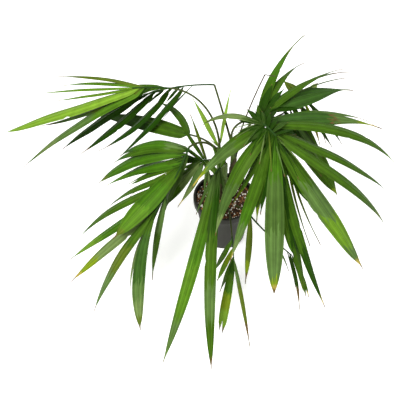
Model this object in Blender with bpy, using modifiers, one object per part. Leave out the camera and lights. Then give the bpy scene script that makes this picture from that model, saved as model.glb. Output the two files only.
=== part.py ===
"""Potted cat palm: a young clump of canes in a round nursery pot.

Units are metres, +Z is up and the origin is the centre of the pot's flat underside.
Bearings are degrees in plan: 0 is +X (right), 90 is +Y (back) and 270 is the front.
Every frond is a petiole, a rachis and fans of leaflets, and its arcs are worked out
from a starting bearing and pitch, a length, and how far it droops and sweeps.
"""

import math

import bmesh
import bpy
from mathutils import Vector

# The gap between touching solids
CLEARANCE = 0.0003

# Points closer than this are one, and a Boolean tries these in turn until its mesh is closed
MERGE = 2e-6
ATTEMPTS = (("EXACT", MERGE), ("EXACT", MERGE / 20), ("MANIFOLD", MERGE), ("MANIFOLD", MERGE / 20))
SHARP_ANGLE = math.radians(35)

# Nursery pot, a five inch size
POT_HEIGHT = 0.125
POT_RIM_RADIUS = 0.065
POT_BASE_RADIUS = 0.045
POT_WALL = 0.0022
POT_LIP_HEIGHT = 0.014
POT_LIP_STEP = 0.0026
POT_BASE_ROUND = 0.0022
POT_STEPS = 32

# Potting mix, a flat middle that falls a little to the wall
SOIL_TOP = 0.1215
SOIL_EDGE_DROP = 0.0045
SOIL_FLAT_RADIUS = 0.036

# Leaf and stalk solids
TUBE_STEPS = 9
LEAFLET_THICKNESS = 0.0105
LEAFLET_STATIONS = ((0.0, 0.34), (0.12, 0.66), (0.35, 1.0), (0.60, 0.90), (0.82, 0.50), (1.0, 0.0))
PETIOLE_TAPER = 0.72
RACHIS_TAPER = 0.55

LEAF_GREEN = (0.060, 0.190, 0.022)
YOUNG_GREEN = (0.230, 0.470, 0.050)
STALK_GREEN = (0.045, 0.075, 0.018)
DRY_BROWN = (0.060, 0.040, 0.022)


def stroke(bearing, pitch, length, width, droop=0.0, sweep=0.0):
    """An arc by its start bearing and pitch in degrees, its length and its width."""
    return dict(bearing=bearing, pitch=pitch, length=length, width=width, droop=droop, sweep=sweep)


def fan(count, at, bearing, pitch, length, width, droop, sweep=0.0):
    """Leaflets spaced evenly; a value that changes along them is a (first, last) pair."""
    sizes = dict(at=at, bearing=bearing, pitch=pitch, length=length, width=width, droop=droop, sweep=sweep)
    return count, sizes


# Canes by the foot in the soil, the top, and the radius at both
CANES = {
    "cane_left": ((-0.007, 0.004), (-0.012, 0.017, 0.258), 0.0062, 0.0045),
    "cane_right": ((0.014, 0.004), (0.018, 0.010, 0.272), 0.0062, 0.0045),
    "cane_front": ((0.001, -0.015), (-0.001, -0.013, 0.248), 0.0050, 0.0036),
}

# Folded young leaves that stand up out of the left cane
SPEARS = (
    stroke(138, 56, 0.108, 0.0130, droop=10),
    stroke(50, 80, 0.130, 0.0080, droop=8),
    stroke(200, 55, 0.036, 0.0050),
)
SPEAR_PROFILE = (0.30, 0.55, 0.75, 0.85, 0.80, 0.65, 0.48, 0.30, 0.15, 0.04)

FRONDS = {
    "left_high": dict(
        foot=(-0.0105, 0.0105, 0.248), on="cane_left",
        petiole=stroke(102, 86, 0.186, 0.0038, droop=90, sweep=68),
        rachis=stroke(180, 8, 0.075, 0.0030, droop=16),
        fans=(
            fan(2, (0.62, 0.70), (157, 160), (-3, -7), (0.197, 0.179), 0.010, 17, 2),
            fan(2, (0.80, 0.85), 165, (-15, -25), (0.228, 0.200), 0.010, (8, 1), -3),
            fan(1, 0.80, 180, -24, 0.326, 0.030, 8, -11),
            fan(2, (0.75, 0.68), (181, 183), (-36, -30), (0.261, 0.340), (0.019, 0.028), (-8, 17), (-17, 3)),
        )),
    "left_kinked": dict(
        foot=(0.014, 0.014, 0.266), on="cane_right",
        petiole=stroke(114, 49, 0.125, 0.0040, droop=7),
        rachis=stroke(160, -16, 0.168, 0.0030, droop=6, sweep=24),
        fans=(
            fan(1, 0.28, 190, -47, 0.107, 0.005, 13),
            fan(2, (0.40, 0.58), (208, 201), (-48, -54), 0.205, (0.021, 0.024), (-3, -18), (-14, -17)),
            fan(2, (0.78, 0.97), (198, 184), (-43, -35), (0.212, 0.221), (0.023, 0.026), (-3, 8), (-9, 4)),
            fan(3, (0.40, 0.92), (125, 145), -35, (0.105, 0.125), 0.014, 25),
        )),
    "left_middle": dict(
        foot=(-0.0145, 0.018, 0.248), on="cane_left",
        petiole=stroke(164, 52, 0.066, 0.0034, droop=64, sweep=-10),
        rachis=stroke(160, 4, 0.014, 0.0028, droop=10),
        fans=(
            fan(1, 0.20, 105, 2, 0.143, 0.017, 30, 25),
            fan(1, 0.50, 145, -14, 0.269, 0.034, 15, -3),
        )),
    "left_low": dict(
        foot=(-0.0155, 0.0135, 0.240), on="cane_left",
        petiole=stroke(178, 82, 0.089, 0.0040, droop=87, sweep=46),
        rachis=stroke(247, -25, 0.145, 0.0032, droop=4, sweep=-16),
        fans=(
            fan(2, (0.03, 0.10), (155, 165), (4, -8), (0.157, 0.212), (0.024, 0.034), (51, 43), 22),
            fan(2, (0.20, 0.28), (166, 171), (-19, -23), (0.193, 0.153), (0.034, 0.015), 26, (14, 4)),
            fan(1, 0.26, 225, -17, 0.186, 0.044, 16, -7),
            fan(2, (0.36, 0.52), (191, 191), -16, (0.225, 0.263), 0.021, (53, 46), (-36, -15)),
            fan(2, (0.66, 0.85), (196, 204), -33, (0.271, 0.256), 0.024, 15, (-14, -9)),
            fan(2, (0.95, 1.00), (218, 242), (-31, -28), (0.261, 0.246), (0.024, 0.026), (37, 47), (1, 37)),
            fan(1, 0.97, 225, -42, 0.212, 0.008, 48, 6),
            fan(2, (0.80, 0.72), (213, 246), -54, (0.178, 0.187), (0.008, 0.015), (46, 24)),
            fan(1, 0.08, 228, -45, 0.131, 0.024, 30),
        )),
    "left_small": dict(
        foot=(-0.0135, 0.0115, 0.225), on="cane_left",
        petiole=stroke(205, 40, 0.026, 0.0030, droop=30),
        rachis=stroke(200, 14, 0.018, 0.0026),
        fans=(
            fan(2, (0.2, 0.3), (129, 142), (67, 50), (0.100, 0.090), (0.007, 0.010), 10),
            fan(2, (0.5, 0.8), (152, 161), (21, 0), 0.046, (0.008, 0.015), 12),
            fan(2, (0.6, 0.9), (250, 214), (-24, -28), (0.100, 0.125), (0.015, 0.028), (10, 28), (-25, 0)),
        )),
    "right": dict(
        foot=(0.020, 0.005, 0.262), on="cane_right",
        petiole=stroke(344, 118, 0.141, 0.0042, droop=110, sweep=-18),
        rachis=stroke(303, 14, 0.046, 0.0036, droop=18),
        fans=(
            fan(2, (0.10, 0.16), (36, 20), (-8, -5), (0.245, 0.280), (0.019, 0.034), (23, 33), (-26, 0)),
            fan(2, (0.28, 0.48), (8, -14), (2, -15), 0.316, (0.028, 0.024), (59, 42), (-2, 30)),
            fan(1, 0.62, 322, -9, 0.353, 0.026, 63, 56),
            fan(1, 0.90, 311, -33, 0.318, 0.040, 24, 23),
            fan(1, 0.85, 315, -56, 0.198, 0.028, -12, 20),
            fan(2, (0.95, 0.98), (287, 284), (-52, -49), (0.351, 0.330), (0.021, 0.017), (0, 16), (22, 16)),
            fan(1, 0.97, 277, -49, 0.233, 0.021, 11, 20),
            fan(1, 1.00, 268, -37, 0.311, 0.038, 33, 6),
            fan(2, (0.18, 0.22), (156, 203), (16, -15), (0.161, 0.185), (0.019, 0.032), (84, 40), 3),
            fan(2, (0.50, 0.80), (225, 248), (-20, -41), (0.233, 0.265), (0.032, 0.026), (53, 27), (13, -18)),
            fan(1, 0.60, 240, -45, 0.157, 0.015, 6, -21),
            fan(2, (0.90, 0.93), (242, 255), (-38, -42), (0.174, 0.155), 0.017, (38, 29), (22, -3)),
        )),
    "right_back": dict(
        foot=(0.022, 0.013, 0.258), on="cane_right",
        petiole=stroke(348, 80, 0.108, 0.0038, droop=25),
        rachis=stroke(52, 18, 0.018, 0.0032, droop=10),
        fans=(
            fan(2, (0.1, 0.4), (74, 65), (23, 19), (0.222, 0.187), 0.020, (31, 45), (-19, -13)),
            fan(2, (0.7, 1.0), (37, 31), (14, -1), (0.284, 0.247), (0.020, 0.043), (53, 34), (13, 8)),
        )),
    "right_under": dict(
        foot=(0.0205, 0.013, 0.240), on="cane_right",
        petiole=stroke(28, 60, 0.128, 0.0036, droop=56),
        rachis=stroke(43, 0, 0.080, 0.0028, droop=15),
        fans=(
            fan(1, 0.15, 307, -25, 0.196, 0.047, 25, 11),
            fan(5, (0.30, 1.00), (289, 306), (-26, -34), (0.090, 0.098), (0.008, 0.009), 30),
            fan(2, (0.05, 0.10), (273, 269), (-39, -37), 0.266, 0.006, (0, 9), (35, 32)),
            fan(2, (0.45, 0.90), (85, 70), -8, 0.110, 0.015, 30),
        )),
    "front_long": dict(
        foot=(-0.001, -0.015, 0.238), on="cane_front",
        petiole=stroke(245, 60, 0.028, 0.0038, droop=48),
        rachis=stroke(236, 5, 0.018, 0.0034),
        fans=(
            fan(2, (1.0, 0.2), (258, 261), (-28, -22), (0.381, 0.392), (0.026, 0.024), (20, 31), (-16, 13)),
        )),
    "front_low": dict(
        foot=(0.006, -0.024, 0.118), on=None,
        petiole=stroke(275, 55, 0.106, 0.0034, droop=85),
        rachis=stroke(276, -35, 0.045, 0.0028, droop=20),
        fans=(
            fan(3, (0.1, 0.9), (226, 242), (-45, -40), 0.075, (0.013, 0.010), 14, -6),
            fan(2, 1.0, (258, 282), -20, (0.154, 0.174), (0.020, 0.009), 22),
        )),
    "right_low": dict(
        foot=(0.020, -0.018, 0.118), on=None,
        petiole=stroke(307, 30, 0.055, 0.0034, droop=22),
        rachis=stroke(305, -5, 0.126, 0.0032, sweep=12),
        fans=(
            fan(1, 0.02, 268, -27, 0.133, 0.014, 19, -7),
            fan(1, 0.95, 288, -21, 0.105, 0.007, 25, -12),
            fan(2, 1.0, (300, 304), -23, (0.085, 0.090), (0.010, 0.007), 28, -12),
        )),
    "dry": dict(
        foot=(0.0185, 0.014, 0.252), on="cane_right",
        petiole=stroke(46, 70, 0.178, 0.0026, droop=7, sweep=-14),
        rachis=stroke(0, -10, 0.022, 0.0018),
        fans=()),
}


def blend(value, share):
    """A fixed value, or the one at a share of the way through a (first, last) pair."""
    if not isinstance(value, tuple):
        return value
    return value[0] + (value[1] - value[0]) * share


def heading(bearing, pitch):
    """Unit vector of a plan bearing and a pitch above level, both in degrees."""
    turn = math.radians(bearing)
    rise = math.radians(pitch)
    return Vector((math.cos(turn) * math.cos(rise), math.sin(turn) * math.cos(rise), math.sin(rise)))


def arc(foot, bearing, pitch, length, droop=0.0, sweep=0.0, steps=TUBE_STEPS):
    """Points along an arc that sinks by droop and turns by sweep over its length."""
    points = [Vector(foot)]
    for step in range(steps):
        share = (step + 0.5) / steps
        points.append(points[-1] + heading(bearing + sweep * share, pitch - droop * share) * (length / steps))
    return points


def stroke_arc(foot, shape):
    """The arc of a petiole, rachis or spear."""
    return arc(foot, shape["bearing"], shape["pitch"], shape["length"], shape["droop"], shape["sweep"])


def point_on(points, share):
    """The point at a share of the way along evenly spaced points."""
    place = share * (len(points) - 1)
    first = min(int(place), len(points) - 2)
    return points[first].lerp(points[first + 1], place - first)


def leaflets(fans, rachis):
    """Each leaflet of a frond as its foot on the rachis and its own sizes."""
    for count, ranges in fans:
        for index in range(count):
            share = index / max(count - 1, 1)
            sizes = {key: blend(value, share) for key, value in ranges.items()}
            sizes["foot"] = point_on(rachis, sizes.pop("at"))
            yield sizes


def clear_scene():
    for item in list(bpy.data.objects):
        bpy.data.objects.remove(item, do_unlink=True)


def new_collection(name):
    group = bpy.data.collections.new(name)
    bpy.context.scene.collection.children.link(group)
    return group


def material(name, color, roughness):
    finish = bpy.data.materials.new(name)
    finish.use_nodes = True
    shader = finish.node_tree.nodes["Principled BSDF"]
    shader.inputs["Base Color"].default_value = (*color, 1.0)
    shader.inputs["Roughness"].default_value = roughness
    shader.inputs["Metallic"].default_value = 0.0
    return finish


def add_object(name, mesh, group, finish=None):
    item = bpy.data.objects.new(name, mesh)
    group.objects.link(item)
    if finish:
        mesh.materials.clear()
        mesh.materials.append(finish)
    return item


def tube(name, points, radii, group):
    """A capped tube with a radius at each point, as a closed mesh."""
    curve = bpy.data.curves.new(name, "CURVE")
    curve.dimensions = "3D"
    curve.bevel_depth = 1.0
    curve.bevel_resolution = 1
    curve.use_fill_caps = True
    spline = curve.splines.new("POLY")
    spline.points.add(len(points) - 1)
    for knot, point, radius in zip(spline.points, points, radii):
        knot.co = (*point, 1.0)
        knot.radius = radius
    item = bpy.data.objects.new(name, curve)
    group.objects.link(item)
    bpy.context.view_layer.update()
    evaluated = item.evaluated_get(bpy.context.evaluated_depsgraph_get())
    mesh = bpy.data.meshes.new_from_object(evaluated)
    bpy.data.objects.remove(item)
    shape = bmesh.new()
    shape.from_mesh(mesh)
    bmesh.ops.remove_doubles(shape, verts=shape.verts, dist=1e-6)
    bmesh.ops.recalc_face_normals(shape, faces=shape.faces)
    shape.to_mesh(mesh)
    shape.free()
    return add_object(name, mesh, group)


def tapered(points, width, taper):
    """Radii that fall evenly along the points, from half the width."""
    last = len(points) - 1
    return [width / 2 * (1.0 - (1.0 - taper) * index / last) for index in range(last + 1)]


def blade(name, foot, bearing, pitch, length, width, droop, sweep, group):
    """A leaflet: a thin lens in section, lofted along its arc to a pointed tip."""
    fine = arc(foot, bearing, pitch, length, droop, sweep, steps=20)
    shape = bmesh.new()
    rows = []
    for share, breadth in LEAFLET_STATIONS:
        center = point_on(fine, share)
        ahead = heading(bearing + sweep * share, pitch - droop * share)
        side = ahead.cross(Vector((0.0, 0.0, 1.0))).normalized()
        lift = side.cross(ahead)
        half_width = width / 2 * breadth
        half_thick = length * LEAFLET_THICKNESS / 2 * math.sqrt(breadth)
        if breadth == 0.0:
            rows.append([shape.verts.new(center)])
            continue
        corners = (-side * half_width, lift * half_thick, side * half_width, -lift * half_thick)
        rows.append([shape.verts.new(center + corner) for corner in corners])
    shape.faces.new(rows[0])
    for low, high in zip(rows, rows[1:]):
        for index in range(4):
            after = (index + 1) % 4
            if len(high) == 1:
                shape.faces.new((low[index], low[after], high[0]))
            else:
                shape.faces.new((low[index], low[after], high[after], high[index]))
    bmesh.ops.triangulate(shape, faces=shape.faces)
    bmesh.ops.recalc_face_normals(shape, faces=shape.faces)
    mesh = bpy.data.meshes.new(name)
    shape.to_mesh(mesh)
    shape.free()
    return add_object(name, mesh, group)


def apply_boolean(item, operation, other, solver):
    """One Boolean with an object or a collection, applied to the item's mesh."""
    change = item.modifiers.new("change", "BOOLEAN")
    change.operation = operation
    change.solver = solver
    if isinstance(other, bpy.types.Collection):
        change.operand_type = "COLLECTION"
        change.collection = other
    else:
        change.object = other
    bpy.context.view_layer.update()
    evaluated = item.evaluated_get(bpy.context.evaluated_depsgraph_get())
    mesh = bpy.data.meshes.new_from_object(evaluated)
    item.modifiers.clear()
    item.data = mesh


def tidy_mesh(mesh, merge):
    """Keep the largest closed piece, as triangles, and drop loose scraps."""
    shape = bmesh.new()
    shape.from_mesh(mesh)
    bmesh.ops.remove_doubles(shape, verts=shape.verts, dist=merge)
    bmesh.ops.dissolve_degenerate(shape, edges=shape.edges, dist=merge)
    bmesh.ops.triangulate(shape, faces=shape.faces)
    left = set(shape.verts)
    pieces = []
    while left:
        stack = [left.pop()]
        piece = set(stack)
        while stack:
            for edge in stack.pop().link_edges:
                for vert in edge.verts:
                    if vert in left:
                        left.remove(vert)
                        piece.add(vert)
                        stack.append(vert)
        pieces.append(piece)
    pieces.sort(key=len, reverse=True)
    scraps = [vert for piece in pieces[1:] for vert in piece]
    bmesh.ops.delete(shape, geom=scraps, context="VERTS")
    bmesh.ops.recalc_face_normals(shape, faces=shape.faces)
    shape.to_mesh(mesh)
    shape.free()


def is_closed(mesh):
    shape = bmesh.new()
    shape.from_mesh(mesh)
    closed = len(shape.faces) > 0 and all(edge.is_manifold for edge in shape.edges)
    shape.free()
    return closed


def reshape(item, operation, other):
    """A Boolean by the first of the attempts that leaves the mesh closed."""
    before = item.data
    for solver, merge in ATTEMPTS:
        item.data = before.copy()
        apply_boolean(item, operation, other, solver)
        tidy_mesh(item.data, merge)
        if is_closed(item.data):
            return
    raise RuntimeError(f"{item.name} stays open after {operation}")


def join_all(item, group):
    """Unite an item with every object of a collection, then remove those objects."""
    reshape(item, "UNION", group)
    for other in list(group.objects):
        bpy.data.objects.remove(other, do_unlink=True)
    bpy.data.collections.remove(group)


def turned(name, profile, group, steps):
    """A solid turned about the Z axis from (radius, height) points that run down its outer side."""
    mesh = bpy.data.meshes.new(name)
    points = [(radius, 0.0, height) for radius, height in profile]
    mesh.from_pydata(points, [(index, index + 1) for index in range(len(points) - 1)], [])
    item = add_object(name, mesh, group)
    screw = item.modifiers.new("turn", "SCREW")
    screw.steps = steps
    screw.render_steps = steps
    screw.use_merge_vertices = True
    screw.merge_threshold = 0.00001
    bpy.context.view_layer.update()
    evaluated = item.evaluated_get(bpy.context.evaluated_depsgraph_get())
    item.data = bpy.data.meshes.new_from_object(evaluated)
    item.modifiers.clear()
    item.data.shade_smooth()
    item.data.set_sharp_from_angle(angle=SHARP_ANGLE)
    return item


def wall_radius(height, inset=0.0):
    """Outer radius of the pot's tapered wall at a height, less an inset."""
    top_radius = POT_RIM_RADIUS - POT_LIP_STEP
    return POT_BASE_RADIUS + (top_radius - POT_BASE_RADIUS) * height / POT_HEIGHT - inset


def build_pot(group):
    lip_foot = POT_HEIGHT - POT_LIP_HEIGHT
    round_off = 0.0012
    floor = POT_WALL
    mouth = wall_radius(POT_HEIGHT, POT_WALL)
    profile = [
        (0.0, floor),
        (wall_radius(floor, POT_WALL), floor),
        (mouth, POT_HEIGHT - round_off),
        (mouth + round_off, POT_HEIGHT),
        (POT_RIM_RADIUS - round_off, POT_HEIGHT),
        (POT_RIM_RADIUS, POT_HEIGHT - round_off),
        (POT_RIM_RADIUS, lip_foot),
        (wall_radius(lip_foot), lip_foot - round_off),
        (POT_BASE_RADIUS, POT_BASE_ROUND),
        (POT_BASE_RADIUS - POT_BASE_ROUND, 0.0),
        (0.0, 0.0),
    ]
    pot = turned("pot", profile, group, POT_STEPS)
    pot.data.materials.append(material("black_plastic", (0.018, 0.018, 0.018), 0.45))


def build_soil(group):
    inset = POT_WALL + CLEARANCE
    floor = POT_WALL + CLEARANCE
    edge = SOIL_TOP - SOIL_EDGE_DROP
    profile = [
        (0.0, SOIL_TOP),
        (SOIL_FLAT_RADIUS, SOIL_TOP),
        (wall_radius(edge, inset), edge),
        (wall_radius(floor, inset), floor),
        (0.0, floor),
    ]
    soil = turned("soil", profile, group, POT_STEPS)
    soil.data.materials.append(material("potting_mix", (0.040, 0.022, 0.014), 0.95))


def cane_arc(cane, start_height):
    """The centre line of a cane, which leans in as it rises."""
    foot, top, _, _ = cane
    start = Vector((*foot, start_height))
    return [start.lerp(Vector(top), index / 4) for index in range(5)]


def cane_tube(name, cane, start_height, group, grow=0.0):
    points = cane_arc(cane, start_height)
    _, _, low, high = cane
    if grow:
        points[-1] = points[-1] + (points[-1] - points[-2]).normalized() * grow
    radii = [blend((low, high), index / 4) + grow for index in range(5)]
    return tube(name, points, radii, group)


def soil_cutter(group):
    """A block with its top a clearance above the soil, to trim feet flat."""
    side = 4 * POT_RIM_RADIUS
    depth = SOIL_TOP + CLEARANCE
    mesh = bpy.data.meshes.new("soil_cutter")
    shape = bmesh.new()
    bmesh.ops.create_cube(shape, size=1.0)
    bmesh.ops.scale(shape, verts=shape.verts, vec=(side, side, depth))
    bmesh.ops.translate(shape, verts=shape.verts, vec=(0.0, 0.0, depth / 2))
    shape.to_mesh(mesh)
    shape.free()
    return add_object("soil_cutter", mesh, group)


def build_canes(group, cutters):
    finish = material("cane_sheath", (0.050, 0.058, 0.022), 0.7)
    ground = soil_cutter(cutters)
    for name, cane in CANES.items():
        item = cane_tube(name, cane, SOIL_TOP - 0.006, group)
        reshape(item, "DIFFERENCE", ground)
        item.data.materials.append(finish)
        cane_tube(name + "_cutter", cane, SOIL_TOP - 0.012, cutters, CLEARANCE)


def build_spears(group, cutters):
    """The folded young leaves, fused at their foot on the left cane."""
    foot = Vector(CANES["cane_left"][1])
    parts = new_collection("spear_parts")
    finish = material("spear_leaf", YOUNG_GREEN, 0.5)
    ends = [foot - Vector((0, 0, 0.003)), foot + Vector((0, 0, 0.008))]
    base = tube("spears", ends, [0.0030, 0.0022], group)
    for index, shape in enumerate(SPEARS):
        points = stroke_arc(foot + Vector((0, 0, 0.003)), shape)
        tube(f"spear_{index}", points, [shape["width"] / 2 * share for share in SPEAR_PROFILE], parts)
    join_all(base, parts)
    reshape(base, "DIFFERENCE", cutters.objects["cane_left_cutter"])
    base.data.materials.append(finish)


def build_petiole(name, frond, group, cutters):
    """The stalk up to the frond, with a cutter one clearance larger all round."""
    points = stroke_arc(frond["foot"], frond["petiole"])
    radii = tapered(points, frond["petiole"]["width"], PETIOLE_TAPER)
    item = tube("petiole_" + name, points, radii, group)
    seat = "soil_cutter" if frond["on"] is None else frond["on"] + "_cutter"
    reshape(item, "DIFFERENCE", cutters.objects[seat])
    color = DRY_BROWN if name == "dry" else STALK_GREEN
    item.data.materials.append(material("petiole_" + name + "_skin", color, 0.6))
    tip = points[-1]
    beyond = tip + (tip - points[-2]).normalized() * CLEARANCE
    tube("tip_cutter_" + name, points[:-1] + [beyond], [radius + CLEARANCE for radius in radii], cutters)
    return tip


def build_frond(name, frond, tip, group, cutters):
    """The rachis with its leaflets, cut a clearance away from the petiole's tip."""
    shape = frond["rachis"]
    rachis = stroke_arc(tip, shape)
    item = tube("frond_" + name, rachis, tapered(rachis, shape["width"], RACHIS_TAPER), group)
    if frond["fans"]:
        parts = new_collection("leaflet_parts")
        for index, sizes in enumerate(leaflets(frond["fans"], rachis)):
            blade(f"leaflet_{index}", group=parts, **sizes)
        join_all(item, parts)
    reshape(item, "DIFFERENCE", cutters.objects["tip_cutter_" + name])
    color = DRY_BROWN if name == "dry" else LEAF_GREEN
    item.data.materials.append(material("frond_" + name + "_leaf", color, 0.45))


def main():
    clear_scene()
    palm = new_collection("potted_cat_palm")
    cutters = new_collection("cutters")
    build_pot(palm)
    build_soil(palm)
    build_canes(palm, cutters)
    build_spears(palm, cutters)
    for name, frond in FRONDS.items():
        tip = build_petiole(name, frond, palm, cutters)
        build_frond(name, frond, tip, palm, cutters)
    for cutter in list(cutters.objects):
        bpy.data.objects.remove(cutter, do_unlink=True)


main()
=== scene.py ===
"""Looks of a potted cat palm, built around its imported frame.

Units are metres and +Z is up. Bearings are degrees in plan: 0 is +X (right), 90 is the
back and 270 the front. The canes, stalks and leaflets follow the same rule as the solids:
an arc from a starting bearing and pitch, a length, and how far it droops and sweeps.
"""

import math

import bmesh
import bpy
import numpy as np
from bpy.props import FloatProperty
from bpy.props import FloatVectorProperty
from bpy.props import IntProperty
from bpy.props import PointerProperty
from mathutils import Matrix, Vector
from mathutils import noise


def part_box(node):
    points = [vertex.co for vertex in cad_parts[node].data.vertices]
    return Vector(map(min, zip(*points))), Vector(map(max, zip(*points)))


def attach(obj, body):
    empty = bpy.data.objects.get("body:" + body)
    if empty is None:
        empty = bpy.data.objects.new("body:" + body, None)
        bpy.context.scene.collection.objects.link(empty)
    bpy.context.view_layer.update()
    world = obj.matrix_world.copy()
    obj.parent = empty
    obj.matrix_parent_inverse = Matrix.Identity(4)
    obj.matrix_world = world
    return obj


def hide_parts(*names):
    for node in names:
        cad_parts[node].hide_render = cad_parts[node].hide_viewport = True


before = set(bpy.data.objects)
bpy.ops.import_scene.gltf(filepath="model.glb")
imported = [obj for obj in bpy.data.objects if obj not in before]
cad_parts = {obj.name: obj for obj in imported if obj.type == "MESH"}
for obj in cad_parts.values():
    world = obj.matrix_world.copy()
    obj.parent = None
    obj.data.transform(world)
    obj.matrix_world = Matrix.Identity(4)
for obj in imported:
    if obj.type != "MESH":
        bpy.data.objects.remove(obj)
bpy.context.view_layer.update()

bl_info = {
    "name": "Potted Cat Palm",
    "version": (1, 0, 0),
    "blender": (4, 5, 0),
    "location": "View3D > Sidebar > Cat Palm",
    "description": "Builds the pot, soil, canes, stalks and leaflets of a young cat palm",
    "category": "Add Mesh",
}

SEED = 20

# The frame's own places
POT_LOW, POT_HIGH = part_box("pot")
SOIL_LOW, SOIL_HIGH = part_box("soil")

# Across a leaflet: five flutes a side and a raised rib between the two middle places
LEAF_PLACES = (-1.0, -0.82, -0.64, -0.46, -0.28, -0.11, -0.035, 0.035, 0.11, 0.28, 0.46, 0.64, 0.82, 1.0)
LEAF_FLUTES = (0.0, 1.0, -0.6, 1.0, -0.6, 0.4, 1.6, 1.6, 0.4, -0.6, 1.0, -0.6, 1.0, 0.0)
LEAF_ROWS = (28, 40)
THREAD = 0.0015

# The strips across a leaflet that are paler, partly as veins and partly as painted highlight, or deeper with
# painted shade in the grooves, and where a torn tip parts into lobes
MIDDLE_STRIP = 6
PALE_RIB_HIGHLIGHT_STRIPS = (3, 9)
GROOVE_SHADE_STRIPS = (1, 5, 7, 11)
TEARS = {2: (6,), 3: (4, 8), 4: (3, 6, 9)}

TONES = ("light", "fresh", "bright", "vivid", "mid", "dark", "olive", "grey", "soft", "blue", "pale",
         "lime", "young")


def stroke(bearing, pitch, length, width, droop=0.0, sweep=0.0):
    """An arc by its start bearing and pitch in degrees, its length and its width."""
    return dict(bearing=bearing, pitch=pitch, length=length, width=width, droop=droop, sweep=sweep)


def look(tone, *ends, belly=0.4, point=1.25, roll=0.0, tail=0.04, curl=0.0, split=0.0, lobes=2):
    """How a leaflet looks: its tone, then the colours that take over, each from a share short of its tip.

    Belly is where it is widest, point how drawn out it is, and roll turns it about its length.
    Tail is the thread beyond the tip and curl how that turns, and split is how far down the tip
    is torn into lobes.
    """
    return dict(tone=tone, ends=ends, belly=belly, point=point, roll=roll, tail=tail, curl=curl, split=split,
                lobes=lobes)


def fan(count, at, bearing, pitch, length, width, droop, sweep=0.0, looks="mid"):
    """Leaflets spaced evenly; a size that changes along them is a (first, last) pair.

    A look, or a tone alone, holds for all of them or is listed one by one.
    """
    sizes = dict(at=at, bearing=bearing, pitch=pitch, length=length, width=width, droop=droop, sweep=sweep)
    looks = looks if isinstance(looks, tuple) else (looks,) * count
    return count, sizes, [look(item) if isinstance(item, str) else item for item in looks]


# Canes by the foot in the soil, the top, and the radius at both
CANES = {
    "cane_left": ((-0.007, 0.004), (-0.012, 0.017, 0.258), 0.0062, 0.0045),
    "cane_right": ((0.014, 0.004), (0.018, 0.010, 0.272), 0.0062, 0.0045),
    "cane_front": ((0.001, -0.015), (-0.001, -0.013, 0.248), 0.0050, 0.0036),
}

# Folded young leaves that stand up out of the left cane
SPEARS = (
    stroke(138, 56, 0.108, 0.0140, droop=10),
    stroke(50, 80, 0.130, 0.0095, droop=8),
    stroke(200, 55, 0.036, 0.0080),
)

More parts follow.
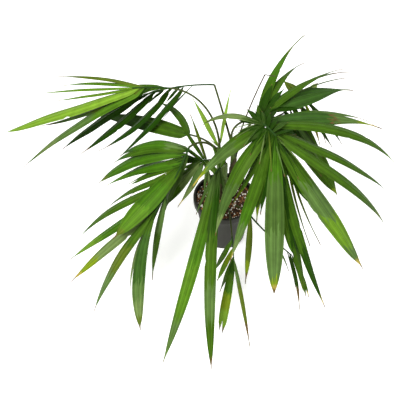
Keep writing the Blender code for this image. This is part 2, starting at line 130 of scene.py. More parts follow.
FRONDS = {
    "left_high": dict(
        foot=(-0.0105, 0.0105, 0.248), on="cane_left",
        petiole=stroke(102, 86, 0.186, 0.0038, droop=90, sweep=68),
        rachis=stroke(180, 8, 0.075, 0.0030, droop=16),
        fans=(
            fan(2, (0.62, 0.70), (157, 160), (-3, -7), (0.197, 0.179), 0.010, 17, 2,
                (look("olive", (0.04, "brown"), tail=0.10, curl=-20), look("bright", tail=0.06))),
            fan(2, (0.80, 0.85), 165, (-15, -25), (0.228, 0.200), 0.010, (8, 1), -3,
                (look("fresh", (0.04, "brown"), point=1.0), look("fresh", (0.05, "brown"), point=1.0))),
            fan(1, 0.80, 180, -24, 0.326, 0.030, 8, -11, look("light", belly=0.5, point=0.9, tail=0.01)),
            fan(2, (0.75, 0.68), (181, 183), (-36, -30), (0.261, 0.340), (0.019, 0.028), (-8, 17), (-17, 3),
                (look("olive", (0.50, "soft"), (0.14, "brown"), belly=0.35, point=1.0, tail=0.03),
                 look("bright", (0.60, "soft"), (0.30, "pale"), (0.12, "grey"), (0.04, "brown"), belly=0.3,
                      point=1.05, tail=0.05))),
        )),
    "left_kinked": dict(
        foot=(0.014, 0.014, 0.266), on="cane_right",
        petiole=stroke(114, 49, 0.125, 0.0040, droop=7),
        rachis=stroke(160, -16, 0.168, 0.0030, droop=6, sweep=24),
        fans=(
            fan(1, 0.28, 190, -47, 0.107, 0.005, 13, looks="grey"),
            fan(2, (0.40, 0.58), (208, 201), (-48, -54), 0.205, (0.021, 0.024), (-3, -18), (-14, -17),
                (look("dark", tail=0.06), look("dark", (0.08, "brown"), tail=0.16, curl=-50))),
            fan(2, (0.78, 0.97), (198, 184), (-43, -35), (0.212, 0.221), (0.023, 0.026), (-3, 8), (-9, 4),
                (look("dark", (0.08, "brown"), tail=0.10, curl=-40),
                 look("dark", (0.05, "brown"), point=1.4))),
            fan(3, (0.40, 0.92), (125, 145), -35, (0.105, 0.125), 0.014, 25, looks="dark"),
        )),
    "left_middle": dict(
        foot=(-0.0145, 0.018, 0.248), on="cane_left",
        petiole=stroke(164, 52, 0.066, 0.0034, droop=64, sweep=-10),
        rachis=stroke(160, 4, 0.014, 0.0028, droop=10),
        fans=(
            fan(1, 0.20, 105, 2, 0.143, 0.017, 30, 25, look("mid", (0.04, "brown"), tail=0.10, curl=30)),
            # The broad leaflet's outer part is painted dark, as painted shadow that the kinked frond casts on
            # it.
            fan(1, 0.50, 145, -14, 0.269, 0.034, 15, -3, look("mid", (0.62, "dark"), belly=0.3, roll=26)),
        )),
    "left_low": dict(
        foot=(-0.0155, 0.0135, 0.240), on="cane_left",
        petiole=stroke(178, 82, 0.089, 0.0040, droop=87, sweep=46),
        rachis=stroke(247, -25, 0.145, 0.0032, droop=4, sweep=-16),
        fans=(
            fan(2, (0.03, 0.10), (155, 165), (4, -8), (0.157, 0.212), (0.024, 0.034), (51, 43), 22,
                (look("soft", (0.70, "vivid"), (0.22, "blue"), roll=10),
                 look("vivid", (0.12, "olive"), belly=0.5))),
            fan(2, (0.20, 0.28), (166, 171), (-19, -23), (0.193, 0.153), (0.034, 0.015), 26, (14, 4),
                (look("vivid", (0.30, "bright"), (0.04, "yellow"), belly=0.3, point=1.4),
                 look("mid", split=0.3))),
            fan(1, 0.26, 225, -17, 0.186, 0.044, 16, -7,
                look("mid", (0.72, "vivid"), (0.40, "bright"), (0.08, "olive"), belly=0.55, point=1.0,
                     tail=0.06)),
            fan(2, (0.36, 0.52), (191, 191), -16, (0.225, 0.263), 0.021, (53, 46), (-36, -15),
                (look("mid", (0.30, "grey"), (0.10, "brown"), belly=0.35, point=1.7, tail=0.08, curl=-30,
                      split=0.3),
                 look("mid", (0.16, "grey"), (0.04, "brown"), point=1.5))),
            fan(2, (0.66, 0.85), (196, 204), -33, (0.271, 0.256), 0.024, 15, (-14, -9),
                (look("vivid", (0.30, "fresh"), (0.05, "pale")),
                 look("pale", (0.30, "lime"), (0.10, "yellow"), (0.04, "brown"), belly=0.45, tail=0.03))),
            fan(2, (0.95, 1.00), (218, 242), (-31, -28), (0.261, 0.246), (0.024, 0.026), (37, 47), (1, 37),
                (look("mid", (0.62, "olive"), (0.36, "soft"), (0.05, "brown")),
                 look("mid", (0.84, "blue"), (0.44, "soft"), (0.28, "pale"), (0.12, "olive"), (0.02, "brown"),
                      belly=0.55, point=1.15))),
            fan(1, 0.97, 225, -42, 0.212, 0.008, 48, 6, look("pale", (0.06, "brown"), tail=0.06)),
            fan(2, (0.80, 0.72), (213, 246), -54, (0.178, 0.187), (0.008, 0.015), (46, 24),
                looks=(look("grey", (0.3, "brown")), look("soft", (0.55, "mid"), tail=0.10))),
            fan(1, 0.08, 228, -45, 0.131, 0.024, 30, looks="grey"),
        )),
    "left_small": dict(
        foot=(-0.0135, 0.0115, 0.225), on="cane_left",
        petiole=stroke(205, 40, 0.026, 0.0030, droop=30),
        rachis=stroke(200, 14, 0.018, 0.0026),
        fans=(
            fan(2, (0.2, 0.3), (129, 142), (67, 50), (0.100, 0.090), (0.007, 0.010), 10,
                looks=("olive", "mid")),
            fan(2, (0.5, 0.8), (152, 161), (21, 0), 0.046, (0.008, 0.015), 12, looks="dark"),
            fan(2, (0.6, 0.9), (250, 214), (-24, -28), (0.100, 0.125), (0.015, 0.028), (10, 28), (-25, 0),
                (look("soft", (0.4, "pale"), (0.12, "yellow"), point=1.5, tail=0.08),
                 look("pale", (0.45, "mid"), belly=0.5))),
        )),
    "right": dict(
        foot=(0.020, 0.005, 0.262), on="cane_right",
        petiole=stroke(344, 118, 0.141, 0.0042, droop=110, sweep=-18),
        rachis=stroke(303, 14, 0.046, 0.0036, droop=18),
        fans=(
            fan(2, (0.10, 0.16), (36, 20), (-8, -5), (0.245, 0.280), (0.019, 0.034), (23, 33), (-26, 0),
                (look("mid", (0.45, "soft"), (0.10, "brown"), point=1.5, tail=0.14, curl=-30),
                 look("blue", (0.475, "brown"), (0.445, "soft"), (0.24, "lime"), (0.12, "yellow"),
                      (0.04, "brown"), belly=0.28, point=2.1, roll=-20, tail=0.04))),
            fan(2, (0.28, 0.48), (8, -14), (2, -15), 0.316, (0.028, 0.024), (59, 42), (-2, 30),
                (look("mid", (0.10, "fresh"), tail=0.05), look("mid", (0.03, "brown"), tail=0.12, curl=-10))),
            fan(1, 0.62, 322, -9, 0.353, 0.026, 63, 56,
                look("mid", (0.20, "olive"), (0.03, "brown"), tail=0.10)),
            fan(1, 0.90, 311, -33, 0.318, 0.040, 24, 23,
                look("mid", (0.66, "soft"), (0.40, "fresh"), (0.16, "soft"), (0.05, "yellow"), belly=0.5,
                     point=1.1)),
            fan(1, 0.85, 315, -56, 0.198, 0.028, -12, 20, look("mid", (0.5, "dark"), belly=0.5)),
            fan(2, (0.95, 0.98), (287, 284), (-52, -49), (0.351, 0.330), (0.021, 0.017), (0, 16), (22, 16),
                (look("mid", (0.35, "dark"), (0.04, "yellow"), point=1.0),
                 look("dark", (0.30, "mid"), (0.08, "olive"), belly=0.6, point=0.9, split=0.12))),
            fan(1, 0.97, 277, -49, 0.233, 0.021, 11, 20,
                look("dark", (0.40, "mid"), (0.06, "vivid"), belly=0.65, point=0.8)),
            fan(1, 1.00, 268, -37, 0.311, 0.038, 33, 6,
                look("vivid", (0.74, "grey"), (0.42, "soft"), (0.10, "lime"), (0.05, "yellow"),
                     (0.03, "brown"), belly=0.55, point=1.1, tail=0.01)),
            fan(2, (0.18, 0.22), (156, 203), (16, -15), (0.161, 0.185), (0.019, 0.032), (84, 40), 3,
                (look("grey", (0.75, "pale"), (0.30, "olive"), belly=0.45, point=1.5),
                 look("mid", (0.62, "grey"), (0.36, "soft"), (0.22, "lime"), (0.14, "yellow"), belly=0.28,
                      point=1.8, roll=14))),
            fan(2, (0.50, 0.80), (225, 248), (-20, -41), (0.233, 0.265), (0.032, 0.026), (53, 27), (13, -18),
                (look("mid", (0.45, "grey"), (0.16, "pale"), belly=0.35),
                 look("mid", (0.45, "vivid"), (0.30, "soft"), (0.16, "pale"), (0.04, "yellow"), belly=0.40))),
            fan(1, 0.60, 240, -45, 0.157, 0.015, 6, -21, look("mid", (0.30, "bright"), (0.18, "lime"))),
            fan(2, (0.90, 0.93), (242, 255), (-38, -42), (0.174, 0.155), 0.017, (38, 29), (22, -3),
                (look("mid", (0.15, "lime")), "dark")),
        )),
    "right_back": dict(
        foot=(0.022, 0.013, 0.258), on="cane_right",
        petiole=stroke(348, 80, 0.108, 0.0038, droop=25),
        rachis=stroke(52, 18, 0.018, 0.0032, droop=10),
        fans=(
            fan(2, (0.1, 0.4), (74, 65), (23, 19), (0.222, 0.187), 0.020, (31, 45), (-19, -13),
                (look("mid", (0.70, "vivid"), (0.30, "olive"), belly=0.22, point=2.2, tail=0.05),
                 look("mid", (0.40, "grey"), (0.10, "brown"), belly=0.25, point=2.6, tail=0.04))),
            fan(2, (0.7, 1.0), (37, 31), (14, -1), (0.284, 0.247), (0.020, 0.043), (53, 34), (13, 8),
                (look("mid", (0.50, "grey"), (0.24, "brown"), belly=0.16, point=3.4, tail=0.06),
                 look("blue", (0.16, "olive"), (0.05, "brown"), belly=0.34, point=2.9, roll=-22, tail=0.04))),
        )),
    "right_under": dict(
        foot=(0.0205, 0.013, 0.240), on="cane_right",
        petiole=stroke(28, 60, 0.128, 0.0036, droop=56),
        rachis=stroke(43, 0, 0.080, 0.0028, droop=15),
        fans=(
            fan(1, 0.15, 307, -25, 0.196, 0.047, 25, 11,
                look("grey", (0.85, "soft"), (0.45, "mid"), (0.06, "lime"), belly=0.5, tail=0.02)),
            fan(5, (0.30, 1.00), (289, 306), (-26, -34), (0.090, 0.098), (0.008, 0.009), 30,
                looks=("dark", "dark", "mid", look("lime", (0.3, "yellow")), look("olive", (0.2, "brown")))),
            fan(2, (0.05, 0.10), (273, 269), (-39, -37), 0.266, 0.006, (0, 9), (35, 32), "olive"),
            fan(2, (0.45, 0.90), (85, 70), -8, 0.110, 0.015, 30,
                looks=("dark", look("lime", (0.2, "brown")))),
        )),
    "front_long": dict(
        foot=(-0.001, -0.015, 0.238), on="cane_front",
        petiole=stroke(245, 60, 0.028, 0.0038, droop=48),
        rachis=stroke(236, 5, 0.018, 0.0034),
        fans=(
            fan(2, (1.0, 0.2), (258, 261), (-28, -22), (0.381, 0.392), (0.026, 0.024), (20, 31), (-16, 13),
                (look("grey", (0.86, "mid"), (0.70, "vivid"), (0.54, "bright"), (0.24, "soft"),
                      (0.04, "pale"), belly=0.45, point=1.1, tail=0.02),
                 look("grey", (0.90, "dark"), (0.66, "mid"), (0.42, "soft"), (0.24, "mid"), (0.04, "brown"),
                      belly=0.5, point=1.0, tail=0.02))),
        )),
    "front_low": dict(
        foot=(0.006, -0.024, 0.118), on=None,
        petiole=stroke(275, 55, 0.106, 0.0034, droop=85),
        rachis=stroke(276, -35, 0.045, 0.0028, droop=20),
        fans=(
            fan(3, (0.1, 0.9), (226, 242), (-45, -40), 0.075, (0.013, 0.010), 14, -6,
                (look("bright", (0.4, "soft"), belly=0.5), look("lime", (0.5, "fresh"), belly=0.5),
                 look("mid", (0.4, "grey"), tail=0.08))),
            fan(2, 1.0, (258, 282), -20, (0.154, 0.174), (0.020, 0.009), 22,
                looks=(look("dark", (0.78, "mid"), (0.66, "vivid"), (0.52, "lime"), (0.30, "light"),
                            (0.09, "brown"), belly=0.62, point=0.62, tail=0.01, split=0.15),
                       look("soft", (0.70, "olive"), (0.26, "brown"), point=1.2, tail=0.04))),
        )),
    "right_low": dict(
        foot=(0.020, -0.018, 0.118), on=None,
        petiole=stroke(307, 30, 0.055, 0.0034, droop=22),
        rachis=stroke(305, -5, 0.126, 0.0032, sweep=12),
        fans=(
            fan(1, 0.02, 268, -27, 0.133, 0.014, 19, -7,
                look("olive", (0.30, "lime"), (0.12, "brown"), belly=0.45, tail=0.06)),
            fan(1, 0.95, 288, -21, 0.105, 0.007, 25, -12,
                look("dark", (0.35, "brown"), point=1.0, tail=0.10)),
            fan(2, 1.0, (300, 304), -23, (0.085, 0.090), (0.010, 0.007), 28, -12,
                (look("mid", (0.10, "olive"), belly=0.5), look("mid", (0.12, "yellow"), belly=0.5))),
        )),
    "dry": dict(
        foot=(0.0185, 0.014, 0.252), on="cane_right",
        petiole=stroke(46, 70, 0.178, 0.0026, droop=7, sweep=-14),
        rachis=stroke(0, -10, 0.022, 0.0018),
        fans=()),
}


# Finer leaflets between those of the solids, by the frond that carries them
FINE = {
    "left_high": (
        fan(5, (0.10, 0.50), (160, 186), (-6, -30), (0.070, 0.110), 0.012, 12,
            looks=("mid", "mid", "vivid", "mid", "dark")),
    ),
    "left_kinked": (
        fan(6, (0.45, 0.95), (200, 175), (-40, -30), (0.045, 0.060), 0.010, 20, looks="dark"),
    ),
    "left_low": (
        fan(1, 0.06, 160, 0, 0.165, 0.022, 44, 20, look("mid", (0.20, "blue"), belly=0.45)),
        fan(4, (0.15, 0.75), (180, 205), (-18, -34), (0.070, 0.090), 0.014, 25,
            looks=("mid", "dark", "mid", "dark")),
        fan(3, (0.30, 0.85), (188, 215), (-22, -34), (0.160, 0.200), 0.004, 40, -14,
            look("olive", (0.5, "brown"), tail=0.08, curl=-40)),
    ),
    "left_small": (
        fan(4, (0.1, 0.9), (128, 165), (62, 22), (0.055, 0.040), 0.0055, 12,
            looks=("mid", "vivid", "mid", "dark")),
        fan(3, (0.4, 1.0), (175, 205), (-6, -22), (0.050, 0.065), 0.009, 20, looks=("mid", "bright", "grey")),
        fan(4, (0.0, 0.6), (262, 318), (-28, -58), (0.072, 0.100), 0.006, 18,
            looks=("grey", "pale", "mid", "olive")),
        fan(4, (0.0, 0.6), (304, 348), (-14, -42), (0.066, 0.080), 0.012, 22,
            looks=("mid", "olive", "soft", "mid")),
    ),
    "right": (
        fan(7, (0.0, 0.7), (50, -40), (6, -30), (0.050, 0.075), 0.015, 25, looks="dark"),
        fan(6, (0.4, 1.0), (-48, -110), (-34, -58), (0.060, 0.085), 0.015, 20,
            looks=("dark", "mid", "dark", "dark", "mid", "dark")),
        fan(5, (0.0, 0.8), (165, 238), (6, -40), (0.045, 0.075), 0.014, 30, looks="dark"),
        fan(3, 0.0, (62, 140), (22, 30), 0.038, 0.014, 24, looks=("dark", "mid", "dark")),
        fan(6, (0.1, 0.9), (120, 20), (34, 16), (0.030, 0.042), 0.009, 40,
            looks=("dark", "grey", "dark") * 2),
        fan(5, (0.0, 0.12), (186, 216), (2, -16), (0.055, 0.062), 0.0034, 26, looks=look("pale", point=1.6)),
        fan(8, (0.1, 1.0), (226, 336), (-4, -26), (0.055, 0.115), 0.0034, (34, 18),
            looks=("soft", "dark", "pale", "olive") * 2),
        fan(3, (0.3, 1.0), (10, -66), (-26, -54), (0.170, 0.215), 0.008, 35, 10,
            look("olive", (0.45, "soft"), (0.2, "brown"), point=1.2, tail=0.08, curl=30)),
    ),
    "right_back": (
        fan(4, (0.0, 1.0), (66, 18), (30, -6), (0.070, 0.080), 0.016, 18, looks="dark"),
        fan(3, (0.0, 1.0), (2, -30), (-2, -22), (0.048, 0.060), 0.014, 20, looks=("dark", "mid", "dark")),
        fan(2, (0.8, 1.0), (44, 38), (8, 2), (0.300, 0.315), 0.0045, (46, 40), (-6, 4),
            look("grey", (0.35, "brown"), point=1.4, tail=0.06, curl=40)),
    ),
    "right_under": (
        fan(4, (0.1, 0.9), (300, 330), (-12, -30), (0.090, 0.120), 0.012, 25,
            looks=("dark", "mid", "dark", "dark")),
        fan(1, 1.0, 148, 12, 0.068, 0.024, 14, -24,
            look("mid", (0.4, "olive"), belly=0.45, point=1.5, tail=0.02)),
    ),
    "front_long": (
        fan(4, (0.0, 1.0), (292, 226), (-58, -48), (0.075, 0.095), 0.007, 16,
            looks=("grey", look("soft", (0.4, "pale")), "mid", "grey")),
        fan(2, (0.4, 1.0), (270, 263), (-50, -40), (0.120, 0.170), 0.0065, 20,
            looks=(look("pale", (0.4, "soft")), look("soft", (0.5, "pale")))),
        fan(4, 0.0, (40, 130), (60, 74), (0.038, 0.054), 0.007, 24, looks=("mid", "soft", "grey", "mid")),
    ),
    "right_low": (
        fan(3, (0.35, 0.9), (325, 300), (-30, -50), (0.060, 0.085), 0.004, 25,
            looks=("olive", "mid", "dark")),
    ),
}

# How far out from its rachis the leaf bases of a frond are painted dark, as painted shade in the frond's
# heart
SHADED_HEARTS = {"left_kinked": 0.020, "left_low": 0.024, "left_small": 0.012, "right": 0.046, "right_back": 0.034,
          "right_under": 0.006}


class PotSettings(bpy.types.PropertyGroup):
    steps: IntProperty(name="Steps", description="Sides of the turned pot", default=144, min=24)
    wall: FloatProperty(name="Wall", description="Thickness of the wall", default=0.0022, unit="LENGTH")
    lip: FloatProperty(name="Lip", description="Height of the rim band", default=0.014, unit="LENGTH")
    step: FloatProperty(name="Step", description="How far the rim band stands out", default=0.0026,
                        unit="LENGTH")
    base: FloatProperty(name="Base radius", description="Radius at the foot", default=0.045, unit="LENGTH")
    # The drain holes are drawn as discs of painted shade.
    holes: IntProperty(name="Holes", description="Drain holes in the underside", default=8, min=0)
    color: FloatVectorProperty(name="Colour", description="Charcoal plastic", subtype="COLOR",
                               default=(0.023, 0.023, 0.017), min=0, max=1)


class SoilSettings(bpy.types.PropertyGroup):
    heap: FloatProperty(name="Heap", description="Height of the lumps in the mix", default=0.0012,
                        unit="LENGTH")
    chips: IntProperty(name="Bark chips", description="Number of bark chips on top", default=750, min=0)
    chip: FloatProperty(name="Chip length", description="Length of a large bark chip", default=0.0065,
                        unit="LENGTH")
    grains: IntProperty(name="Perlite grains", description="Number of white grains", default=250, min=0)
    grain: FloatProperty(name="Grain size", description="Width of a large white grain", default=0.0052,
                         unit="LENGTH")
    color: FloatVectorProperty(name="Mix colour", description="Dark peat between the chips",
                               subtype="COLOR", default=(0.030, 0.015, 0.007), min=0, max=1)
    bark: FloatVectorProperty(name="Bark colour", description="Reddish bark", subtype="COLOR",
                              default=(0.150, 0.064, 0.022), min=0, max=1)
    perlite: FloatVectorProperty(name="Perlite colour", description="White grains", subtype="COLOR",
                                 default=(0.92, 0.89, 0.80), min=0, max=1)


class StalkSettings(bpy.types.PropertyGroup):
    green: FloatVectorProperty(name="Green", description="Dark olive of a stalk", subtype="COLOR",
                               default=(0.036, 0.050, 0.008), min=0, max=1)
    clasp: FloatVectorProperty(name="Clasp", description="Pale green of the front stalk", subtype="COLOR",
                               default=(0.100, 0.156, 0.048), min=0, max=1)
    sheath: FloatVectorProperty(name="Sheath", description="Green of a leaf sheath", subtype="COLOR",
                                default=(0.050, 0.082, 0.018), min=0, max=1)
    fibre: FloatVectorProperty(name="Fibre", description="Dry fibre and old sheath", subtype="COLOR",
                               default=(0.066, 0.056, 0.024), min=0, max=1)
    dry: FloatVectorProperty(name="Dry", description="Dead stalk", subtype="COLOR",
                             default=(0.060, 0.048, 0.024), min=0, max=1)


class LeafSettings(bpy.types.PropertyGroup):
    fold: FloatProperty(name="Fold", description="How far the two halves slope down from the rib",
                        default=math.radians(24), subtype="ANGLE")
    flute: FloatProperty(name="Flute", description="Depth of the pleats, as a share of the half width",
                         default=0.03)
    light: FloatVectorProperty(name="Light", description="Pale yellow green", subtype="COLOR",
                               default=(0.139, 0.258, 0.020), min=0, max=1)
    fresh: FloatVectorProperty(name="Fresh", description="Fresh yellow green", subtype="COLOR",
                               default=(0.096, 0.196, 0.012), min=0, max=1)
    bright: FloatVectorProperty(name="Bright", description="Clear green", subtype="COLOR",
                                default=(0.060, 0.146, 0.008), min=0, max=1)
    vivid: FloatVectorProperty(name="Vivid", description="Strong grass green", subtype="COLOR",
                               default=(0.036, 0.108, 0.004), min=0, max=1)
    mid: FloatVectorProperty(name="Mid", description="Middle green", subtype="COLOR",
                             default=(0.034, 0.086, 0.004), min=0, max=1)
    dark: FloatVectorProperty(name="Dark", description="Deep green", subtype="COLOR",
                              default=(0.010, 0.042, 0.001), min=0, max=1)
    olive: FloatVectorProperty(name="Olive", description="Olive green", subtype="COLOR",
                               default=(0.071, 0.109, 0.009), min=0, max=1)
    # Grey: partly the leaflets' own dull green and partly painted sheen.
    grey: FloatVectorProperty(name="Grey", description="Grey green", subtype="COLOR",
                              default=(0.044, 0.089, 0.016), min=0, max=1)
    soft: FloatVectorProperty(name="Soft", description="Light greyed green", subtype="COLOR",
                              default=(0.066, 0.124, 0.028), min=0, max=1)
    blue: FloatVectorProperty(name="Blue", description="Blue green", subtype="COLOR",
                              default=(0.026, 0.072, 0.010), min=0, max=1)
    pale: FloatVectorProperty(name="Pale", description="Faded grey green", subtype="COLOR",
                              default=(0.105, 0.160, 0.045), min=0, max=1)
    lime: FloatVectorProperty(name="Lime", description="Yellowing green", subtype="COLOR",
                              default=(0.136, 0.201, 0.006), min=0, max=1)
    young: FloatVectorProperty(name="Young", description="Yellow green of a young spear", subtype="COLOR",
                               default=(0.180, 0.310, 0.030), min=0, max=1)
    yellow: FloatVectorProperty(name="Yellow tip", description="Faded tip", subtype="COLOR",
                                default=(0.330, 0.260, 0.050), min=0, max=1)
    brown: FloatVectorProperty(name="Brown tip", description="Dead tip", subtype="COLOR",
                               default=(0.100, 0.060, 0.022), min=0, max=1)


class StudioSettings(bpy.types.PropertyGroup):
    elevation: FloatProperty(name="Elevation", description="Camera angle above level",
                             default=math.radians(51), subtype="ANGLE")
    distance: FloatProperty(name="Distance", description="Camera to the middle of the crown", default=2.0,
                            unit="LENGTH")
    target: FloatVectorProperty(name="Target", description="What the camera looks at",
                                subtype="XYZ", default=(-0.0342, -0.0196, 0.1092))
    lens: FloatProperty(name="Lens", description="Focal length in millimetres", default=82.56)
    floor: FloatVectorProperty(name="Floor", description="Floor colour", subtype="COLOR",
                               default=(0.88, 0.88, 0.88), min=0, max=1)
    glow: FloatProperty(name="Glow", description="Light that the floor gives off, as a white table does",
                        default=0.44)


class Palm(bpy.types.PropertyGroup):
    pot: PointerProperty(type=PotSettings)
    soil: PointerProperty(type=SoilSettings)
    stalk: PointerProperty(type=StalkSettings)
    leaf: PointerProperty(type=LeafSettings)
    studio: PointerProperty(type=StudioSettings)


class Value:
    """A number on the surface. Arithmetic on it adds the Math nodes that work it out."""

    def __init__(self, finish, socket):
        self.finish = finish
        self.socket = socket

    def combine(self, operation, first, second):
        node = self.finish.node("ShaderNodeMath", {"operation": operation}, {0: first, 1: second})
        return Value(self.finish, node.outputs[0])

    def __add__(self, other):
        return self.combine("ADD", self, other)

    def __radd__(self, other):
        return self.combine("ADD", other, self)

    def __sub__(self, other):
        return self.combine("SUBTRACT", self, other)

    def __rsub__(self, other):
        return self.combine("SUBTRACT", other, self)

    def __mul__(self, other):
        return self.combine("MULTIPLY", self, other)

    def __rmul__(self, other):
        return self.combine("MULTIPLY", other, self)

    def sine(self):
        return self.combine("SINE", self, 0.0)

    def clamped(self):
        return self.combine("MINIMUM", self.combine("MAXIMUM", self, 0.0), 1.0)


class Finish:
    """A material in the making, with one Principled shader."""

    def __init__(self, name, color, roughness, gloss=0.3, tint=(1.0, 1.0, 1.0)):
        self.material = bpy.data.materials.new(name)
        self.material.use_nodes = True
        self.tree = self.material.node_tree
        self.shader = self.tree.nodes["Principled BSDF"]
        self.shader.inputs["Base Color"].default_value = (*color, 1.0)
        self.shader.inputs["Roughness"].default_value = roughness
        self.shader.inputs["Specular IOR Level"].default_value = gloss
        self.shader.inputs["Specular Tint"].default_value = (*tint, 1.0)

    def node(self, kind, settings, inputs):
        """A node by its type, its settings, and the values or links of its sockets."""
        made = self.tree.nodes.new(kind)
        for name, setting in settings.items():
            if name == "stops":
                self.set_stops(made.color_ramp, setting)
            else:
                setattr(made, name, setting)
        for name, given in inputs.items():
            if isinstance(given, Value):
                given = given.socket
            if isinstance(given, bpy.types.NodeSocket):
                self.tree.links.new(given, made.inputs[name])
            else:
                made.inputs[name].default_value = given
        return made

    def set_stops(self, ramp, stops):
        while len(ramp.elements) < len(stops):
            ramp.elements.new(0.5)
        for element, (place, color) in zip(ramp.elements, stops):
            element.position = place
            element.color = (*color, 1.0)

    def place(self, stretch=(1.0, 1.0, 1.0)):
        """The point on the object, stretched."""
        spot = self.node("ShaderNodeTexCoord", {}, {})
        scaled = self.node("ShaderNodeVectorMath", {"operation": "MULTIPLY"},
                           {0: spot.outputs["Object"], 1: stretch})
        return scaled.outputs[0]

    def across(self):
        """How far across and along a leaf or stalk a point is, from its map."""
        sheet = self.node("ShaderNodeUVMap", {"uv_map": "along"}, {})
        parts = self.node("ShaderNodeSeparateXYZ", {}, {0: sheet.outputs[0]})
        return Value(self, parts.outputs[0]), Value(self, parts.outputs[1])

    def noise(self, scale, detail=3.0, stretch=(1.0, 1.0, 1.0)):
        made = self.node("ShaderNodeTexNoise", {}, {"Vector": self.place(stretch), "Scale": scale,
                                                    "Detail": detail})
        return Value(self, made.outputs[0])

    def cells(self, scale):
        made = self.node("ShaderNodeTexVoronoi", {}, {"Vector": self.place(), "Scale": scale})
        return Value(self, made.outputs["Distance"])

    def mixed(self, share, low, high):
        """A colour between two, by a share."""
        low = (*low, 1.0) if len(low) == 3 else low
        high = (*high, 1.0) if len(high) == 3 else high
        made = self.node("ShaderNodeMix", {"data_type": "RGBA"}, {0: share, 6: low, 7: high})
        return made.outputs[2]

    def feed(self, name, given):
        socket = given.socket if isinstance(given, Value) else given
        self.tree.links.new(socket, self.shader.inputs[name])

    def relief(self, height, distance, strength=1.0):
        bump = self.node("ShaderNodeBump", {}, {"Height": height, "Distance": distance,
                                                "Strength": strength})
        self.tree.links.new(bump.outputs[0], self.shader.inputs["Normal"])


def shade(color, factor):
    return tuple(min(part * factor, 1.0) for part in color)


def pot_plastic(name, color):
    """Moulded charcoal plastic: fine grain and slow cloudy changes of tone and gloss."""
    finish = Finish(name, color, 0.42, 0.14)
    grain = finish.noise(900, 4)
    cloud = finish.noise(28, 4)
    finish.feed("Base Color", finish.mixed(cloud, shade(color, 0.75), shade(color, 1.28)))
    finish.feed("Roughness", 0.34 + cloud * 0.16 + grain * 0.08)
    finish.relief(grain, 0.00012, 0.5)
    return finish.material


def peat(color):
    """The dark fines between the chips."""
    finish = Finish("peat", color, 0.95)
    crumbs = finish.noise(700, 5)
    finish.feed("Base Color", finish.mixed(crumbs, shade(color, 0.4), shade(color, 1.9)))
    finish.relief(crumbs, 0.0009)
    return finish.material


def bark(name, color):
    """Chips of bark, darker along the grain."""
    finish = Finish(name, color, 0.85)
    grain = finish.noise(420, 4, (1.0, 1.0, 3.0))
    finish.feed("Base Color", finish.mixed(grain, shade(color, 0.45), shade(color, 1.5)))
    finish.relief(grain, 0.0003)
    return finish.material


def perlite(color):
    """White grains with small pits."""
    finish = Finish("perlite", color, 0.9)
    pits = finish.cells(1500)
    finish.feed("Base Color", finish.mixed(pits.clamped(), shade(color, 0.85), color))
    finish.relief(pits, 0.0002)
    return finish.material


def leaf(name, color):
    """A leaf surface: fine veins along it, a soft waxy gloss and slow changes of tone."""
    finish = Finish(name, color, 0.45, 0.12, (0.90, 1.0, 0.40))
    side, _ = finish.across()
    veins = (side * 210.0).sine() * 0.5 + 0.5
    cloud = finish.noise(55, 3)
    finish.feed("Base Color", finish.mixed((cloud * 1.6 - 0.3).clamped(), shade(color, 0.80),
                                           shade(color, 1.20)))
    finish.feed("Roughness", 0.34 + cloud * 0.24)
    finish.relief(veins, 0.00010, 0.6)
    return finish.material


def stalk(name, color, roughness=0.5):
    """A ribbed stalk or sheath: fibres run along it."""
    finish = Finish(name, color, roughness, 0.15)
    side, along = finish.across()
    fibres = (side * 130.0 + along * 3.0).sine() * 0.5 + 0.5
    cloud = finish.noise(160, 4)
    finish.feed("Base Color", finish.mixed(cloud, shade(color, 0.62), shade(color, 1.40)))
    finish.feed("Roughness", roughness - 0.1 + cloud * 0.2)
    finish.relief(fibres, 0.00016, 0.7)
    return finish.material


class Batch:
    """Points and faces that become one mesh, with a material number and a map for each face."""

    def __init__(self):
        self.points = []
        self.faces = []
        self.slots = []
        self.maps = []
        self.count = 0

    def add(self, points, faces, slots, maps):
        """Add points (N x 3), faces as lists of indices, a slot a face and a map point (N x 2)."""
        self.points.append(np.asarray(points, float))
        self.faces.extend([tuple(index + self.count for index in face) for face in faces])
        self.slots.extend(slots)
        self.maps.append(np.asarray(maps, float))
        self.count += len(points)

    def make(self, name, materials, sharp=None):
        mesh = bpy.data.meshes.new(name)
        mesh.from_pydata(np.concatenate(self.points).tolist(), [], self.faces)
        for finish in materials:
            mesh.materials.append(finish)
        mesh.polygons.foreach_set("material_index", self.slots)
        sheet = mesh.uv_layers.new(name="along")
        corners = np.zeros(len(mesh.loops), int)
        mesh.loops.foreach_get("vertex_index", corners)
        sheet.data.foreach_set("uv", np.concatenate(self.maps)[corners].ravel())
        mesh.shade_smooth()
        if sharp is not None:
            mesh.set_sharp_from_angle(angle=sharp)
        mesh.validate()
        item = bpy.data.objects.new(name, mesh)
        bpy.context.scene.collection.objects.link(item)
        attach(item, "root")
        return item


def blend(value, share):
    """A fixed value, or the one at a share of the way through a (first, last) pair."""
    if not isinstance(value, tuple):
        return value
    return value[0] + (value[1] - value[0]) * share


def headings(bearing, pitch):
    """Unit vectors of plan bearings and pitches above level, in degrees."""
    turn = np.radians(bearing)
    rise = np.radians(pitch)
    return np.stack([np.cos(turn) * np.cos(rise), np.sin(turn) * np.cos(rise), np.sin(rise)], -1)


def arc(foot, bearing, pitch, length, droop, sweep, steps):
    """Points along an arc that sinks by droop and turns by sweep, and its heading at each."""
    middles = (np.arange(steps) + 0.5) / steps
    ends = np.arange(steps + 1) / steps
    hops = headings(bearing + sweep * middles, pitch - droop * middles) * (length / steps)
    points = np.concatenate([np.zeros((1, 3)), np.cumsum(hops, 0)]) + np.asarray(foot, float)
    return points, headings(bearing + sweep * ends, pitch - droop * ends)


def stroke_arc(foot, shape, steps):
    return arc(foot, shape["bearing"], shape["pitch"], shape["length"], shape["droop"], shape["sweep"], steps)


